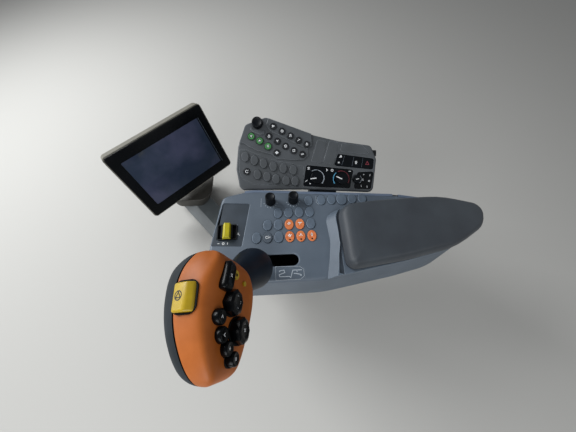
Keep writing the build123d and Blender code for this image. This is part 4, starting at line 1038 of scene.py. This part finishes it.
# u, v, height, stroke width, strokes; the dials' pointers stand last
pod_signs = [
    (126, 65, HIGH_TOP, 1.3, [[(-2, -1.8), (2.2, 0), (-2, 1.8), (-2, -1.8)]]),
    (115, 47, HIGH_TOP, 1.1, [ring(0, 0, 2.4, points=14), [(-0.4, 0), (0.4, 0)]]),
    (105, 30, HIGH_TOP, 1.1, [[(-2.3, -2.4), (0, -0.2), (2.3, -2.4)], [(-2.3, 0.6), (0, 2.8), (2.3, 0.6)]]),
    (95, 13, HIGH_TOP, 1.1, [[(-2.6, -1.4), (2.6, 1.6)], [(-0.4, 2.6), (0.4, 2.6)]]),
    (86, -4, HIGH_TOP, 1.1, [[(0, 2.8), (1.8, -0.8), (0, -2.4), (-1.8, -0.8), (0, 2.8)]]),
    (106, 75, MIDDLE_TOP, 1.1, [
        [(-2.1, -0.2), (2.1, -0.2), (0, 2.6), (-2.1, -0.2)], [(-2.4, -2.4), (2.4, -2.4)],
    ]),
    (95, 58, MIDDLE_TOP, 1.5, [[(-2.2, 1.5), (2.2, 1.5)], [(-1.2, -1.3), (1.2, -1.3)]]),
    (84, 41, MIDDLE_TOP, 1.1, [ring(0, 0, 2.5, points=14), [(-1.1, 0), (1.1, 0)]]),
    (74, 24, MIDDLE_TOP, 1.1, [[(-2, -2), (2, -2), (2, 2), (-2, 2), (-2, -2)]]),
    (66, 6, MIDDLE_TOP, 1.3, [[(-2.8, 0.8), (-1.1, -1.1), (1.1, 1.1), (2.8, -0.8)]]),
    (71, 60, MIDDLE_TOP, 2.2, [[(0, 2.1), (2.4, 0), (0, -2.1), (-2.4, 0), (0, 2.1)]]),
    (34, 125, LOW_TOP, 1.1, [ring(0, 0, 2.7, 70, 340, 14), [(1.4, 1.4), (3.2, 3.2)]]),
    (107, 112, GREEN_TOP, 1.2, [[(-1.8, 1.6), (0, -0.6), (1.8, 1.6)], [(-0.3, -2.4), (0.3, -2.4)]]),
    (97, 95, GREEN_TOP, 1.4, [[(-1.9, -1.2), (0, 1.4), (1.9, -1.2)]]),
    (85, 78, GREEN_TOP, 1.2, [[(-2, 2), (2, 2)], [(-1.7, 0), (0, -2), (1.7, 0)]]),
    (36.1, -6.1, PANEL_TOP, 1.2, [
        [(-2.4, -2.2), (2.4, 2.2)], [(-2.4, 2.2), (2.4, -2.2)], [(0, -2.6), (0, 2.6)],
    ]),
    (31, -44.8, PANEL_TOP, 1.3, [[(-1.4, 2.4), (1.6, 0), (-1.4, -2.4)]]),
    (30.1, -56.3, PANEL_TOP, 1.1, [ring(0, 0, 2.2, points=12)]),
    (26.2, -94, PANEL_TOP, 1.0, [[(-2.4, 0.4), (2.4, 0)]]),
    (9.6, -0.1, PANEL_TOP, 1.0, [[(-2.6, -1.6), (2.6, 1.8)]]),
    (3.6, -8, PANEL_TOP, 1.1, [ring(0, 0, 0.8, points=8)]),
    (58.7, -75.4, PANEL_TOP, 1.3, [[(-2.2, -1.8), (2.2, -1.2), (1.2, 2.4), (-2.2, -1.8)]]),
    (45.9, -71.2, PANEL_TOP, 1.3, [[(-2, 0), (2, 0)], [(0, -1.8), (0, 2)]]),
    (45.3, -108.3, PANEL_TOP, 1.1, [ring(0, 0.4, 1.8, points=10), [(-2, -3.2), (1.6, -3)]]),
    (18.3, -124, PANEL_TOP, 1.0, [[(-1, 0), (1, 0)], [(0, -1), (0, 1)]]),
    (16.5, -137.2, PANEL_TOP, 1.0, [[(-0.6, -1.8), (0.8, 1.8)]]),
    (7.3, -121.9, PANEL_TOP, 1.0, [[(-1.6, 1), (-0.2, 2), (0.4, 0.4), (-0.8, -1.2), (1.8, -1.6)]]),
    (4.3, -135, PANEL_TOP, 1.0, [[(-1.8, -1.8), (1.8, 1.8)], [(-1.8, 1.8), (1.8, -1.8)]]),
    (-5.6, -117.7, PANEL_TOP, 1.0, [[(0.3, -2.2), (-0.3, 2.2)]]),
    (-7.8, -130.1, PANEL_TOP, 1.0, [[(0.3, -2.2), (-0.3, 2.2)]]),
    (9, -108.3, 6.0, 0.9, [[(-3.2, 0.4), (-1.2, -1), (1.2, 1), (3.2, -0.4)]]),
    (13.2, -16.8, DIAL_TOP, 1.9, [[(-9.2, -1.0), (3.4, 0.2)]]),
    (12.3, -68.4, DIAL_TOP, 1.9, [[(-6.2, 2.8), (5.6, -3.0)]]),
]
white_prints = [pod_print(u, v, w, strokes, width) for u, v, w, width, strokes in pod_signs]
flat_piece("pod_white_prints", white_prints, white_ink)
# each arc's dial, radius, first and last angle, steps and stroke width
arcs = [
    (FAN_DIAL, 17.2, 120, 78, 8, 0.9), (FAN_DIAL, 17.2, 74, 20, 10, 1.4), (FAN_DIAL, 17.2, 16, -44, 12, 2.0),
    (SMALL_DIAL, 10.4, 40, -50, 12, 0.8),
]
scales = [pod_print(*dial, PANEL_TOP, [ring(0, 0, *arc)], width) for dial, *arc, width in arcs]
# the ends of the switch strip's two long sides, and how far along them the dividers cross
STRIP_SIDES = [(Vector((40, -61)), Vector((28.5, -144))), (Vector((64.5, -70)), Vector((51.5, -147)))]
DIVIDERS = (0.19, 0.45, 0.70)
DIVIDER_INSET = 0.08
dividers = []
for fraction in DIVIDERS:
    low, high = (first.lerp(last, fraction) for first, last in STRIP_SIDES)
    low, high = low.lerp(high, DIVIDER_INSET), low.lerp(high, 1 - DIVIDER_INSET)
    dividers.append(pod_print(0, 0, PANEL_TOP, [[(-low.y, low.x), (-high.y, high.x)]], 0.5))
flat_piece("pod_grey_scales", scales, grey_ink)
flat_piece("switch_strip_dividers", dividers, dark_key)
blue_ink = new_material("light_blue_pad_print", {"Roughness": 0.6})
two_tone(blue_ink, "#4E9CC4", "#5FAED3", patch_mm=4)
cold = pod_print(*HEAT_DIAL, PANEL_TOP, [ring(0, 0, 17.0, 212, 128, 16)], 1.5)
flat_piece("pod_cold_scale", [cold], blue_ink)
red_ink = new_material("red_pad_print", {"Roughness": 0.6})
two_tone(red_ink, "#84303C", "#963A46", patch_mm=4)
hot = [
    pod_print(*HEAT_DIAL, PANEL_TOP, [ring(0, 0, 17.0, 112, -32, 24)], 0.8),
    pod_print(42.4, -132.3, PANEL_TOP, [[(-3.6, -2.8), (3.4, -3.2), (0.4, 3.6), (-3.6, -2.8)]], 0.9),
]
flat_piece("pod_red_prints", hot, red_ink)

# Pod tab: a small catch moulded in satin black plastic, which stands out of the
# pod's rear edge and holds its face on its back.
TAB_CORNERS = [(57, -144), (71, -145), (70, -154.5), (58, -154)]
TAB_LOW, TAB_HIGH = -9.0, -4.0
tab = [pod_point(u, v, w) * MM for w in (TAB_LOW, TAB_HIGH) for u, v in TAB_CORNERS]
piece(
    "pod_tab", tab, [(3, 2, 1, 0), (4, 5, 6, 7), (0, 1, 5, 4), (1, 2, 6, 5), (2, 3, 7, 6), (3, 0, 4, 7)],
    black_key, "console", smooth=False,
)
